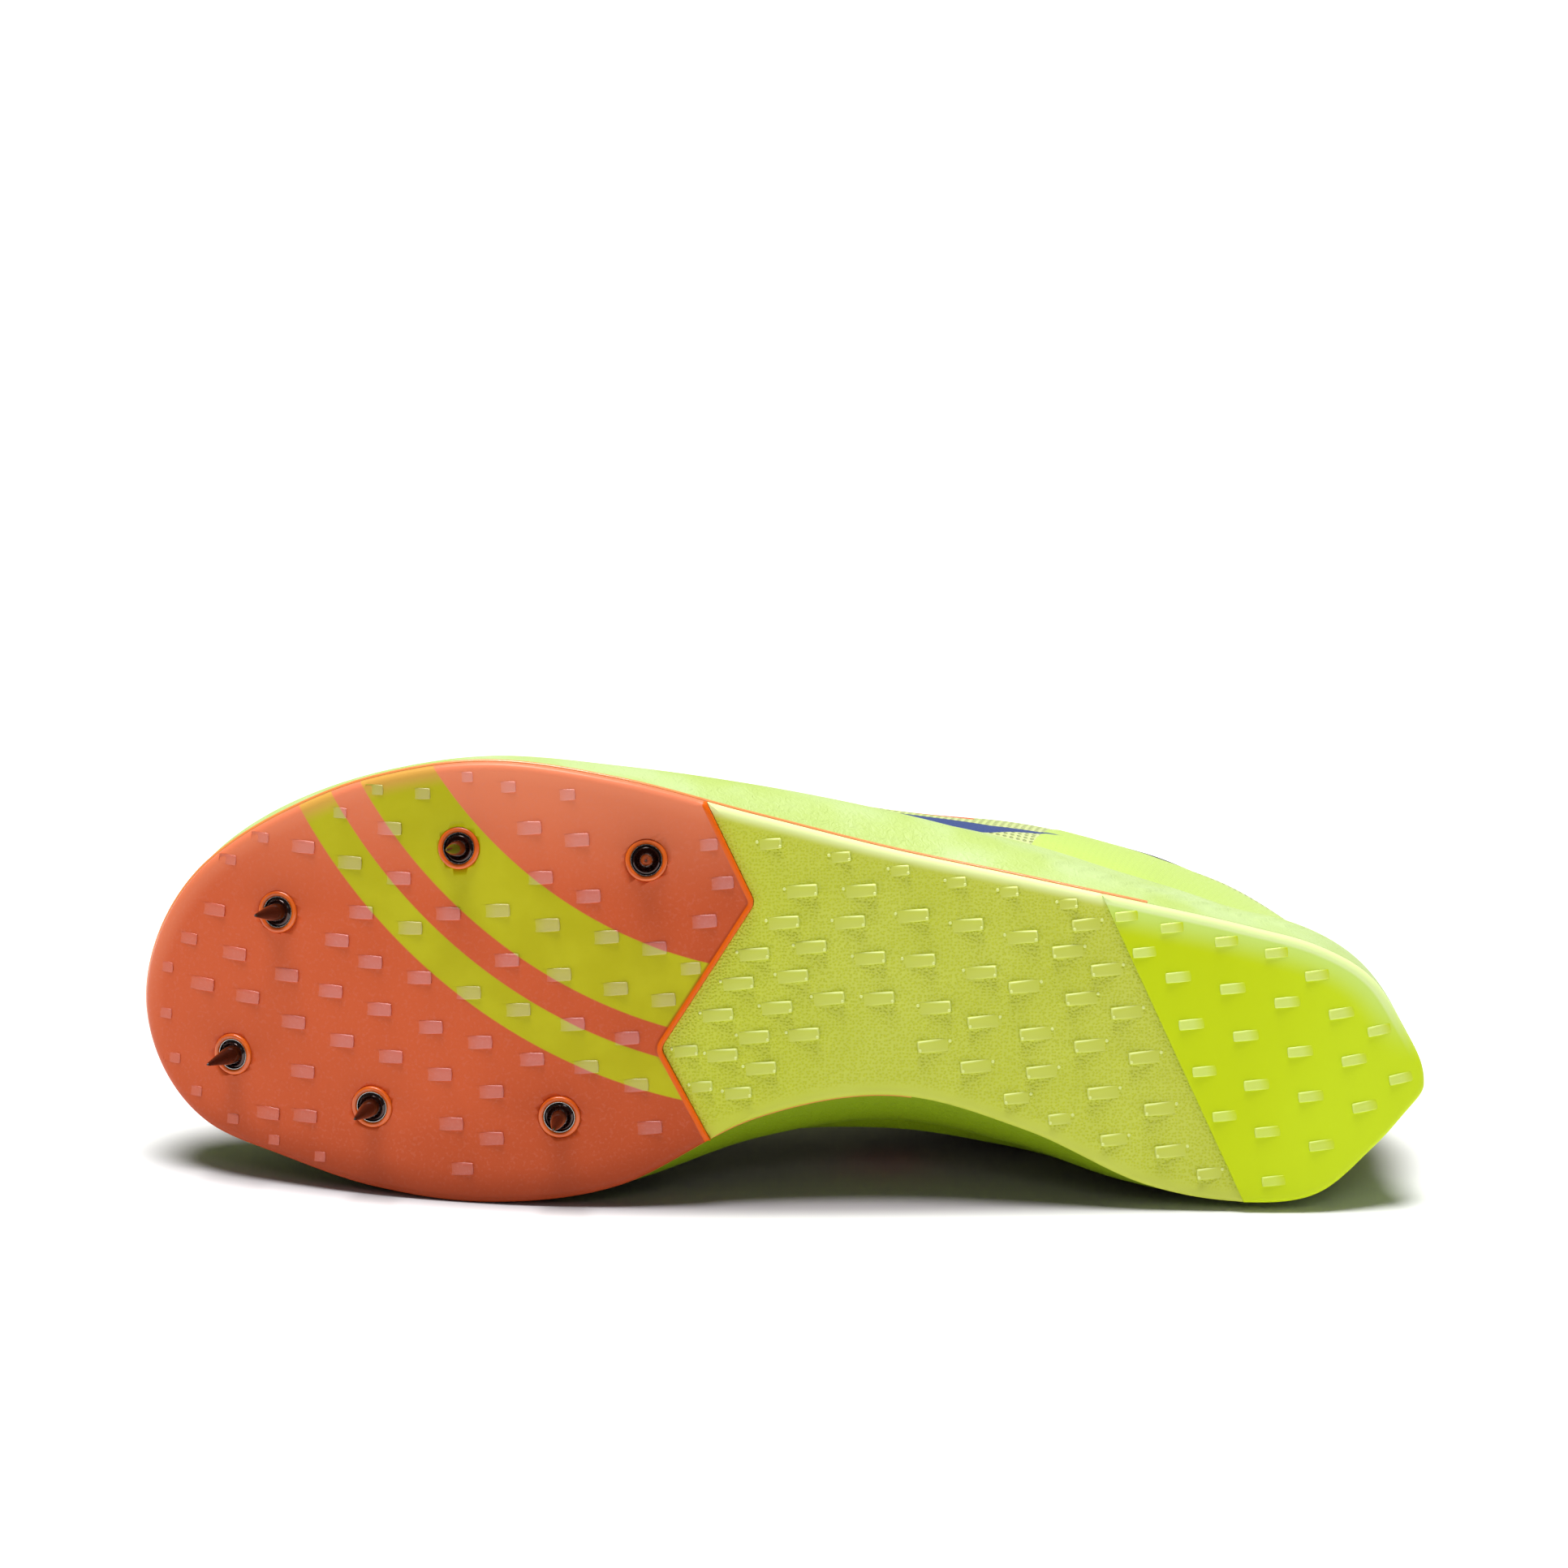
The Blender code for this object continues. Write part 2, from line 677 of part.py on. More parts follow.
def side_of_line(line, shift, far):
    """Plan polygon on one side of a dividing line, kept off it by a shift along the shoe."""
    corners = [(x + shift, y) for x, y in zip(line["x"], line["y"])]
    return corners + [(far, corners[-1][1]), (far, corners[0][1])]


def between_lines(front, rear, shift):
    """Plan polygon between two dividing lines, kept off both."""
    corners = [(x - shift, y) for x, y in zip(front["x"], front["y"])]
    return corners + [(x + shift, y) for x, y in zip(rear["x"][::-1], rear["y"][::-1])]


def line_room(line, x, y):
    """Distance of plan points from a dividing line."""
    room = np.full(np.shape(x), np.inf)
    for k in range(len(line["x"]) - 1):
        start = np.array([line["x"][k], line["y"][k]])
        step = np.array([line["x"][k + 1], line["y"][k + 1]]) - start
        away = np.stack([x, y], -1) - start
        share = np.clip(away @ step / (step @ step), 0, 1)
        room = np.minimum(room, np.linalg.norm(away - share[:, None] * step, axis=-1))
    return room


def lug_sizes(x, y):
    """Share of the full size of wedges at plan points, by the room to the rim and the dividing lines."""
    rim = outline(SOLE, np.linspace(0, TURN, RIM_STEPS))
    edge = np.min(np.linalg.norm(rim[None] - np.stack([x, y], -1)[:, None], axis=-1), axis=1)
    line = np.minimum(line_room(FRONT_LINE, x, y), line_room(REAR_LINE, x, y))
    room = np.minimum(edge, LUG_LINE_SHARE * line)
    return LUG_SMALLEST + (1 - LUG_SMALLEST) * fade(room, LUG_LEAST_ROOM, LUG_FULL_ROOM)


def lug_mesh(x, y, size, recess):
    """One wedge on the sole face: its steep end stands proud, and it fades to the other end."""
    facing = -1 if x + LUG_SPLIT_SLANT * y > LUG_SPLIT else 1
    turn = math.radians(np.interp(x, LUG_TURNS["x"], LUG_TURNS["degrees"]))
    length = LUG_LENGTH * size
    width = LUG_WIDTH * (1 + size) / 2
    points = []
    for end, proud in ((-0.5, LUG_FADE), (0.5, LUG_HEIGHT * size)):
        for across in (-0.5, 0.5):
            along = facing * end * length
            turned_x = along * math.cos(turn) - across * width * math.sin(turn)
            turned_y = along * math.sin(turn) + across * width * math.cos(turn)
            face = ground(x + turned_x) + recess
            points.append((x + turned_x, y + turned_y, face - proud))
            points.append((x + turned_x, y + turned_y, face + LUG_SINK))
    faces = [(0, 1, 3, 2), (4, 6, 7, 5), (0, 2, 6, 4), (1, 5, 7, 3), (0, 4, 5, 1), (2, 3, 7, 6)]
    return np.array(points), faces


def lug_field(places, recess):
    """All wedges of one piece in one mesh."""
    x, y = np.array(places, float).T
    return joined([lug_mesh(*row, recess) for row in zip(x, y, lug_sizes(x, y))])


def outsole_slab(recess):
    """Slab of the outsole layer over the whole sole face, its lower edge rounded in."""
    rings = [
        sole_ring(-OUTSOLE_INSET, recess),
        sole_ring(-OUTSOLE_INSET / 4, recess + OUTSOLE_EDGE / 3),
        sole_ring(0.0, recess + OUTSOLE_EDGE),
        sole_ring(0.0, OUTSOLE_TOP),
    ]
    return ring_mesh(rings)


def build_outsole(shoe):
    """The three pieces of the outsole layer, cut from one slab along the dividing lines."""
    regions = {
        "forefoot_outsole": side_of_line(FRONT_LINE, CUT_SHIFT, LENGTH + CUT_REACH),
        "midfoot_pad": between_lines(FRONT_LINE, REAR_LINE, CUT_SHIFT),
        "heel_outsole": side_of_line(REAR_LINE, -CUT_SHIFT, -CUT_REACH),
    }
    recesses = {"forefoot_outsole": 0.0, "midfoot_pad": PAD_RECESS, "heel_outsole": HEEL_RECESS}
    wedges = {"forefoot_outsole": FOREFOOT_LUGS, "midfoot_pad": PAD_LUGS, "heel_outsole": HEEL_LUGS}
    finishes = {
        "forefoot_outsole": finish("clear_coral", (0.76, 0.17, 0.075), 0.35),
        "midfoot_pad": finish("pale_foam", (0.52, 0.56, 0.09), 0.6),
        "heel_outsole": finish("clear_lime", (0.5, 0.66, 0.01), 0.35),
    }
    pieces = []
    for name, corners in regions.items():
        piece = add_piece(name, outsole_slab(recesses[name]), finishes[name], shoe)
        shape(piece, "INTERSECT", add_cutter(name + ".region", prism_mesh(corners), shoe))
        lugs = lug_field(wedges[name], recesses[name])
        shape(piece, "UNION", add_cutter(name + ".lugs", lugs, shoe))
        if name == "forefoot_outsole":
            holes = at_seats(pin_profile(HOLE_RADIUS, -CUT_PAST))
            shape(piece, "DIFFERENCE", add_cutter("spike.holes", holes, shoe))
        pieces.append(piece)
    return pieces


def build_plate(shoe):
    """Thin plate under the foam, cut off slantwise behind the arch, with a collar at each spike."""
    plate = add_piece(
        "plate",
        ring_mesh([sole_ring(0.0, PLATE_LOW), sole_ring(0.0, PLATE_TOP)]),
        finish("orange_plate", (0.85, 0.14, 0.02), 0.4),
        shoe,
    )
    region = prism_mesh(side_of_line(PLATE_END, 0.0, LENGTH + CUT_REACH))
    shape(plate, "INTERSECT", add_cutter("plate.region", region, shoe))
    boss = (
        (0, BOSS_FLOOR),
        (BOSS_RADIUS, BOSS_FLOOR),
        (BOSS_RADIUS, BOSS_RISE - BOSS_CHAMFER),
        (BOSS_RADIUS - BOSS_CHAMFER, BOSS_RISE),
        (0, BOSS_RISE),
    )
    shape(plate, "UNION", add_cutter("plate.bosses", at_seats(boss), shoe))
    bores = at_seats(pin_profile(BORE_RADIUS, BORE_FLOOR))
    shape(plate, "DIFFERENCE", add_cutter("plate.bores", bores, shoe))
    return plate


def build_spikes(shoe):
    """A steel cup in each collar, and the spike that screws into it."""
    socket = add_mesh("socket", turned_mesh(rows_of(CUP), ROUND_SIDES))
    spike = add_mesh("spike", turned_mesh(rows_of(SPIKE), SPIKE_SIDES))
    socket.materials.append(finish("steel_cup", (0.35, 0.34, 0.34), 0.25, 1.0))
    spike.materials.append(finish("dark_steel", (0.03, 0.018, 0.014), 0.2, 1.0))
    for number, seat in enumerate(seats(), 1):
        for name, data in (("socket", socket), ("spike", spike)):
            piece = add_object(f"{name}_{number}", data, shoe)
            piece.matrix_local = Matrix.Translation(seat.translation * MM) @ seat.to_3x3().to_4x4()


def build_midsole(shoe):
    """Foam from the plate to a lip round the upper, with a dish for the upper and the insole."""
    low = sole_ring(0.0, PLATE_LOW)
    bulge = loop_column(SIDE, "bulge", ANGLES)[:, None]
    wide_plan = outline(LAST, ANGLES) + bulge * outward(LAST, ANGLES)
    lip = loop_column(SIDE, "lip", ANGLES)
    wide = raised(wide_plan, WALL_WIDEST * lip)
    rings = [low]
    for share in WALL_SHARES:
        out = math.sin(share * math.pi / 2)
        plan = low[:, :2] + (wide - low)[:, :2] * out
        height = low[:, 2] + (wide - low)[:, 2] * share
        rings.append(np.concatenate([plan, height[:, None]], -1))
    rings.append(wide)
    brim = share_at(ANGLES, ground(outline(LAST, ANGLES)[:, 0]) + lip)
    rings.append(upper_skin(ANGLES, brim, np.full_like(ANGLES, DISH_GAP + LIP_THICKNESS)))
    for share in DISH_SHARES:
        rings.append(upper_skin(ANGLES, brim * share, np.full_like(ANGLES, DISH_GAP)))
    floor_plan = outline(LAST, ANGLES) + DISH_GAP * outward(LAST, ANGLES)
    rings.append(np.concatenate([floor_plan, bed(floor_plan[:, 0])[:, None]], -1))
    foam = finish("volt_foam", (0.68, 0.9, 0.05), 0.55)
    midsole = add_piece("midsole", ring_mesh(rings), foam, shoe)
    pocket = add_cutter(
        "plate.pocket",
        ring_mesh([sole_ring(POCKET_MARGIN, OUTSOLE_EDGE), sole_ring(POCKET_MARGIN, PLATE_POCKET)]),
        shoe,
    )
    region = prism_mesh(side_of_line(PLATE_END, -2 * CUT_SHIFT, LENGTH + CUT_REACH + POCKET_MARGIN))
    shape(pocket, "INTERSECT", add_cutter("pocket.region", region, shoe))
    shape(midsole, "DIFFERENCE", pocket)
    return midsole


def build_upper(shoe):
    """One thin wall from the footbed to the topline, padded at the collar, with its eyelets."""
    outer = [upper_skin(ANGLES, share, eyestay(ANGLES, share)) for share in SHARES]
    inner = [upper_skin(ANGLES, share, -wall_depth(ANGLES, share)) for share in LINING_SHARES[::-1]]
    rings = np.array(outer + inner)
    rings[0, :, 2] = bed(rings[0, :, 0]) + GAP
    rings[-1, :, 2] = bed(rings[-1, :, 0]) + GAP
    cloth = finish("mesh_cloth", (0.66, 0.8, 0.12), 0.8)
    upper = add_piece("upper", ring_mesh(rings, closed=True), cloth, shoe)
    pin = turned_mesh(pin_profile(EYELET_RADIUS, -CUT_PAST), EYELET_SIDES)
    pins = []
    for side in (OUTER, INNER):
        for station in EYELET_STATIONS:
            angle = loop_angle(side, station)
            axis = Vector(upper_normal(angle, EYELET_SHARE))
            pins.append(moved(pin, aimed(upper_face(angle, EYELET_SHARE), axis)))
    shape(upper, "DIFFERENCE", add_cutter("upper.eyelets", joined(pins), shoe))
    return upper


def build_insole(shoe):
    """Flat board on the dish floor, inside the wall of the upper."""
    room = WALL + INSOLE_CLEARANCE
    rings = []
    top = GAP + INSOLE_THICKNESS
    for height, inset in ((GAP, room + INSOLE_CHAMFER), (top / 2, room), (top, room)):
        level = bed(outline(LAST, ANGLES)[:, 0]) + height
        ring = upper_skin(ANGLES, share_at(ANGLES, level), np.full_like(ANGLES, -inset))
        ring[:, 2] = bed(ring[:, 0]) + height
        rings.append(ring)
    add_piece("insole", ring_mesh(rings), finish("insole_cloth", (0.05, 0.05, 0.06), 0.85), shoe)


def tongue_rows(depth):
    """Lines across the tongue, tucked under both sides of the throat, then its free end."""
    rows = []
    for station, tuck in zip(TONGUE["station"], TONGUE["tuck"]):
        outer = loop_angle(OUTER, station)
        inner = loop_angle(INNER, station)
        rise = up_the_rib(outer, tuck, depth)
        fall = up_the_rib(inner, tuck, depth)[::-1]
        rows.append(np.array(rise + over_throat(outer, inner, depth, TONGUE_STEPS) + fall))
    last = rows[-1]
    middle = last.mean(axis=0)
    for along, up, width in zip(TONGUE_TAIL["along"], TONGUE_TAIL["up"], TONGUE_TAIL["width"]):
        rows.append(middle + (last - middle) * width + np.array([along, 0.0, up]))
    return np.array(rows)


def build_tongue(shoe):
    """Padded sheet under the throat, from the vamp to a free end above the collar."""
    depth = -(WALL + TONGUE_CLEARANCE)
    sheet = sheet_mesh(tongue_rows(depth), tongue_rows(depth - TONGUE_THICKNESS))
    add_piece("tongue", sheet, finish("tongue_cloth", (0.66, 0.8, 0.12), 0.8), shoe)


def lace_mesh(start_angle, end_angle, layer):
    """One flat run of lace: out of its eyelet and over the throat, to just short of the far edge."""
    lift = EYESTAY_STEP + LACE_LIFT + LACE_LAYER * layer
    lines = []
    for depth in (lift, lift + LACE_THICKNESS):
        over = over_throat(start_angle, end_angle, depth, LACE_STEPS)[:-1]
        lines.append(np.array(up_the_rib(start_angle, EYELET_SHARE, depth) + over))
    low, high = lines
    along = unit(np.gradient(low, axis=0))
    across = unit(np.cross(along, high - low)) * LACE_WIDTH / 2
    top = np.stack([high - across, high + across], 1)
    bottom = np.stack([low - across, low + across], 1)
    return sheet_mesh(top, bottom)


def build_laces(shoe):
    """A straight bar over the front eyelets, and the crossed runs from the second pair to the top."""
    weave = finish("lace_weave", (0.7, 0.85, 0.1), 0.8)
    outer = [loop_angle(OUTER, station) for station in EYELET_STATIONS]
    inner = [loop_angle(INNER, station) for station in EYELET_STATIONS]
    add_piece("lace_bar", lace_mesh(outer[0], inner[0], 0), weave, shoe)
    runs = []
    for k in range(1, len(EYELET_STATIONS) - 1):
        runs.append((outer[k], inner[k + 1]))
        runs.append((inner[k], outer[k + 1]))
    laces = add_piece("lace_crossings", lace_mesh(*runs[0], 0), weave, shoe)
    for number, run in enumerate(runs[1:], 1):
        layer = number % LACE_LAYERS
        shape(laces, "UNION", add_cutter(f"lace.run_{number}", lace_mesh(*run, layer), shoe))


def resting_frame(pieces):
    """Frame of the floor under the shoe: the face of its hull straight below the weight's centre."""
    hull = bmesh.new()
    for piece in pieces:
        for vertex in piece.data.vertices:
            hull.verts.new(vertex.co / MM)
    bmesh.ops.convex_hull(hull, input=hull.verts)
    bmesh.ops.recalc_face_normals(hull, faces=hull.faces)
    point, down, _, _ = BVHTree.FromBMesh(hull).ray_cast(WEIGHT_CENTRE, Vector((0.0, -1.0, 0.0)))
    hull.free()
    up = -down
    back = Vector((-1.0, 0.0, 0.0))
    back = (back - up * back.dot(up)).normalized()
    axes = Matrix((back, up.cross(back), up)).transposed().to_4x4()
    return Matrix.Translation(point + up * FLAT_DEPTH) @ axes


def lay_down(shoe, pieces):
    """Cut the small flats that meet the floor, and lay the shoe on them about the origin."""
    floor = resting_frame(pieces)
    half = FLOOR_SIZE / 2
    square = [(-half, -half), (half, -half), (half, half), (-half, half)]
    below = moved(prism_mesh(square, -FLOOR_DEPTH, 0.0), floor)
    cutter = add_cutter("floor", below, shoe)
    for piece in pieces:
        shape(piece, "DIFFERENCE", cutter)
    laid = floor.inverted()
    corners = []
    for piece in shoe.children:
        if not piece.hide_render:
            place = laid @ Matrix.Scale(1 / MM, 4) @ piece.matrix_basis
            corners += [place @ vertex.co for vertex in piece.data.vertices]
    middle = Vector((0.0, 0.0, 0.0))
    for axis in range(2):
        places = [corner[axis] for corner in corners]
        middle[axis] = (min(places) + max(places)) / 2
    laid = Matrix.Translation(-middle) @ laid
    shoe.matrix_world = Matrix.Translation(laid.translation * MM) @ laid.to_3x3().to_4x4()


def main():
    for thing in list(bpy.data.objects):
        bpy.data.objects.remove(thing)
    shoe = bpy.data.objects.new("shoe", None)
    bpy.context.scene.collection.objects.link(shoe)
    outsole = build_outsole(shoe)
    plate = build_plate(shoe)
    build_spikes(shoe)
    midsole = build_midsole(shoe)
    upper = build_upper(shoe)
    build_insole(shoe)
    build_tongue(shoe)
    build_laces(shoe)
    resting = [midsole, upper, plate] + outsole
    lay_down(shoe, resting)


main()
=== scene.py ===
# %% [markdown]
# # Dressing a cross country spike
# The frame holds plain solids of a left running spike that lies on its inner side. This lesson gives
# each solid its real surface: crinkled foam, clear rubber over a print, turned steel, knitted mesh.
# Every surface is worked out as whole numpy arrays in the shoe's own standing frame, in millimetres
# (x forward from the heel tip, y from the inner to the outer side, z up), and then laid down.

# %% Load the frame
import math

import bpy
import numpy as np
from mathutils import Matrix, Vector


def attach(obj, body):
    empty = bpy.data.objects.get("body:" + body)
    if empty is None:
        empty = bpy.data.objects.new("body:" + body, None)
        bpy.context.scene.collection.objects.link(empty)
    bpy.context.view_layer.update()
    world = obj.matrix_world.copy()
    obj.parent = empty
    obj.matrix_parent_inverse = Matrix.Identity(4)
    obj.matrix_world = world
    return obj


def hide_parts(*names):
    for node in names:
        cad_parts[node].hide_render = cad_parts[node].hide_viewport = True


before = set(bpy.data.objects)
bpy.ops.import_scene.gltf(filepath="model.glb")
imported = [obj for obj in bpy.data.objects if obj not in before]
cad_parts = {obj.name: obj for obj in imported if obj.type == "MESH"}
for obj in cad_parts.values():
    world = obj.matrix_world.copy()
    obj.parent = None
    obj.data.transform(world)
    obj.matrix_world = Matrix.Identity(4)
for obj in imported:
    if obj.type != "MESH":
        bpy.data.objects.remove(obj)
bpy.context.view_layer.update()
MM = 0.001
TURN = 2 * math.pi
OUTER = 1
INNER = -1
print("solids in the frame:", len(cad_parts))

# %% [markdown]
# ## The shoe's own lines
# A shoe is drawn from a few curves: the plan of the sole, the plan of the last, the rocker under it
# and the line of the top edge. Blender curves could hold them, but plain tables with one cubic between
# the rows give the same lines, and any piece can then ask for a point at any place on them.

# %% Plan of the sole and of the last
LENGTH = 285.0


def table(columns, *rows):
    """Columns of numbers by name, from the rows of a short table."""
    return dict(zip(columns.split(), np.array(rows, float).T))


SOLE = table(
    "x inner outer",
    (0.0, 25.5, 25.5),
    (4.5, 18.8, 37.8),
    (12.0, 11.0, 49.3),
    (24.0, 1.4, 56.7),
    (40.0, -0.5, 61.2),
    (62.0, 3.4, 66.1),
    (88.0, 15.1, 71.5),
    (118.0, 22.7, 77.6),
    (148.0, 17.7, 85.3),
    (178.0, 2.9, 93.2),
    (206.0, -1.4, 96.7),
    (232.0, 0.8, 92.4),
    (254.0, 6.6, 82.8),
    (270.0, 12.0, 71.4),
    (LENGTH, 39.0, 39.0),
)
LAST = table(
    "x inner outer",
    (6.5, 29.0, 29.0),
    (11.0, 19.4, 40.2),
    (19.0, 10.8, 48.8),
    (32.0, 3.8, 56.6),
    (46.0, 1.6, 61.0),
    (66.0, 4.2, 67.0),
    (90.0, 12.0, 74.0),
    (118.0, 17.3, 81.2),
    (148.0, 13.6, 87.4),
    (178.0, 4.2, 92.2),
    (206.0, 1.4, 94.6),
    (230.0, 3.4, 90.8),
    (250.0, 8.4, 83.4),
    (266.0, 13.6, 73.0),
    (LENGTH - 2.6, 39.3, 39.3),
)
print("sole and last, mm long:", LENGTH, "and", np.ptp(LAST["x"]).round(1))

# %% [markdown]
# One cubic joins the rows of every table, and a loop angle leads round each plan from the heel.

# %% Curves through the tables
def smooth(at, knots, values, closed=False):
    """Cubic through the knots: each slope is the mean change to its neighbours."""
    if closed:
        knots = np.concatenate([knots[-3:] - TURN, knots, knots[:3] + TURN])
        values = np.concatenate([values[-3:], values, values[:3]])
    slopes = np.gradient(values, knots)
    k = np.clip(np.searchsorted(knots, at, side="right") - 1, 0, len(knots) - 2)
    span = knots[k + 1] - knots[k]
    t = (at - knots[k]) / span
    rest = 1 - t
    start = values[k] * (1 + 2 * t) + slopes[k] * span * t
    end = values[k + 1] * (1 + 2 * rest) - slopes[k + 1] * span * rest
    return start * rest ** 2 + end * t ** 2


def fade(at, low, high):
    """0 below low, 1 above high, and t*t*(3 - 2t) between them."""
    t = np.clip((at - low) / (high - low), 0, 1)
    return t * t * (3 - 2 * t)


def unit(vectors):
    """Vectors divided by their lengths."""
    return vectors / np.linalg.norm(vectors, axis=-1, keepdims=True)


def outline(plan, angle):
    """Point of a plan at a loop angle: x = half the length times (1 - cos), y from the table.
    The angle is 0 at the heel, goes round the outer side, is pi at the toe, and comes back inside."""
    x = plan["x"]
    reach = x[-1] - x[0]
    turn = np.arccos(np.clip(1 - 2 * (x - x[0]) / reach, -1, 1))
    knots = np.concatenate([turn, TURN - turn[-2::-1]])
    values = np.concatenate([plan["outer"], plan["inner"][-2::-1]])
    angle = np.mod(angle, TURN)
    along = x[0] + reach * (1 - np.cos(angle)) / 2
    return np.stack([along, smooth(angle, knots, values)], -1)


def outward(plan, angle, step=0.05):
    """Direction square to a plan, away from the foot: the chord over two small steps, turned."""
    along = outline(plan, angle + step) - outline(plan, angle - step)
    return unit(np.stack([-along[..., 1], along[..., 0]], -1))


ball = outline(SOLE, np.array([2.0, TURN - 2.0]))
print("width at the ball, mm:", round(float(ball[0, 1] - ball[1, 1]), 1))

# %% [markdown]
# ## Rocker of the sole
# Seen from the side the sole is not flat: the toe springs up on a large arc, the arch is lifted a
# little and the heel is bevelled. One height function holds all three, so that every layer of the sole
# can follow it.

# %% Heights along the shoe
SPRING_START = 174.0
SPRING_RADIUS = 210.0
ARCH_REAR = 60.0
ARCH_FRONT = 176.0
ARCH_RISE = 2.5
BEVEL_START = 28.0
BEVEL_RADIUS = 80.0
BED_HEEL = 15.0
BED_BALL = 9.0
BED_FALL_FROM = 60.0
BED_FALL_TO = 190.0


def ground(x):
    """Height of the sole face: an arc at the toe, a squared sine at the arch, a parabola at the heel."""
    spring = np.maximum(x - SPRING_START, 0)
    toe = SPRING_RADIUS - np.sqrt(SPRING_RADIUS ** 2 - spring ** 2)
    arch = ARCH_RISE * np.sin(np.pi * np.clip((x - ARCH_REAR) / (ARCH_FRONT - ARCH_REAR), 0, 1)) ** 2
    heel = np.maximum(BEVEL_START - x, 0) ** 2 / (2 * BEVEL_RADIUS)
    return toe + arch + heel


def bed(x):
    """Height of the footbed: thick foam under the heel, thinner under the ball."""
    return ground(x) + BED_HEEL + (BED_BALL - BED_HEEL) * fade(x, BED_FALL_FROM, BED_FALL_TO)


def raised(plan_points, height):
    """Plan points lifted a height above the sole face."""
    return np.concatenate([plan_points, (ground(plan_points[..., 0]) + height)[..., None]], -1)


print("toe spring, mm:", round(float(ground(np.array(LENGTH))), 1))

# %% [markdown]
# ## Ribs of the upper
# The upper is a thin wall bent round the last. At each place round the shoe one rib runs from the
# footbed to the top edge: a cubic curve whose ends and leans are carried round the shoe by two tables.
# A sculpted mesh could look alike, but ribs let laces, eyelets and lining ask for a point on the wall
# by two numbers, the loop angle and the share up the rib.

# %% Side and top line tables
SIDE = table(
    "side station lip bulge lean crown rise reach",
    (OUTER, 0, 24.0, 3.6, 14, 70, 0.35, 0.35),
    (OUTER, 16, 24.2, 4.8, 13, 80, 0.35, 0.35),
    (OUTER, 40, 24.5, 2.4, 2, 88, 0.35, 0.35),
    (OUTER, 85, 22.0, 2.8, 18, 62, 0.35, 0.35),
    (OUTER, 118, 20.5, 2.8, 6, 55, 0.40, 0.40),
    (OUTER, 148, 19.5, 2.8, -4, 40, 0.42, 0.45),
    (OUTER, 178, 17.0, 2.6, 4, 34, 0.30, 0.45),
    (OUTER, 206, 15.0, 2.2, 8, 38, 0.25, 0.45),
    (OUTER, 245, 13.5, 1.4, 5, 18, 0.25, 0.50),
    (OUTER, LENGTH, 13.0, 1.8, 6, 8, 0.20, 0.55),
    (INNER, 245, 13.5, 1.8, 6, 12, 0.28, 0.50),
    (INNER, 206, 15.0, 2.4, 5, 22, 0.30, 0.45),
    (INNER, 178, 17.5, 2.8, 3, 30, 0.40, 0.45),
    (INNER, 148, 20.0, 2.8, 6, 46, 0.40, 0.42),
    (INNER, 118, 22.5, 2.8, 25, 46, 0.35, 0.37),
    (INNER, 85, 24.0, 2.8, 20, 82, 0.35, 0.30),
    (INNER, 40, 25.0, 2.8, 6, 95, 0.35, 0.30),
    (INNER, 16, 24.6, 4.8, 13, 80, 0.35, 0.35),
)
TOPLINE = table(
    "side station x y z",
    (OUTER, 0, 12.5, 30.0, 77.0),
    (OUTER, 24, 20.0, 47.0, 74.5),
    (OUTER, 45, 42.0, 61.5, 66.0),
    (OUTER, 70, 68.0, 69.0, 60.5),
    (OUTER, 95, 93.0, 71.0, 62.5),
    (OUTER, 118, 112.0, 64.5, 71.5),
    (OUTER, 138, 124.0, 58.5, 81.0),
    (OUTER, 165, 143.0, 57.0, 76.0),
    (OUTER, 190, 163.0, 56.0, 68.5),
    (OUTER, 215, 179.0, 55.0, 63.8),
    (OUTER, 245, 188.5, 53.0, 61.0),
    (OUTER, LENGTH, 193.0, 47.5, 59.8),
    (INNER, 245, 188.5, 42.0, 61.5),
    (INNER, 215, 179.0, 39.5, 64.8),
    (INNER, 190, 163.0, 37.0, 70.3),
    (INNER, 165, 143.0, 32.5, 78.5),
    (INNER, 138, 122.0, 26.5, 84.0),
    (INNER, 118, 109.0, 16.5, 76.0),
    (INNER, 95, 93.0, 6.0, 66.5),
    (INNER, 75, 75.0, 3.6, 61.0),
    (INNER, 48, 48.0, 5.0, 65.0),
    (INNER, 22, 22.0, 14.5, 73.5),
)
print("rows round the side:", len(SIDE["side"]), "and the top line:", len(TOPLINE["side"]))

# %% [markdown]
# With both tables in place, a point on the wall needs three steps: read the tables at a loop angle, place
# the four points of the rib, and walk up its cubic. Small steps to either side then give the direction
# off the wall, so that a lace or a lining can lie a set distance outside or inside it.

# %% Points on the wall of the upper
INWARD_BIAS = 20.0
GAP = 0.3


def loop_angle(side, station):
    """Loop angle of a station on one side: the arc cosine of 1 - 2 station / length."""
    turn = np.arccos(np.clip(1 - 2 * np.asarray(station) / LENGTH, -1, 1))
    return np.where(np.asarray(side) > 0, turn, TURN - turn)


def station_of(angle):
    """Station of a loop angle: half the length times (1 - cos)."""
    return LENGTH * (1 - np.cos(angle)) / 2


def loop_column(columns, name, angle):
    """A column of a loop table, carried smoothly round the shoe."""
    knots = loop_angle(columns["side"], columns["station"])
    return smooth(np.mod(angle, TURN), knots, columns[name], closed=True)


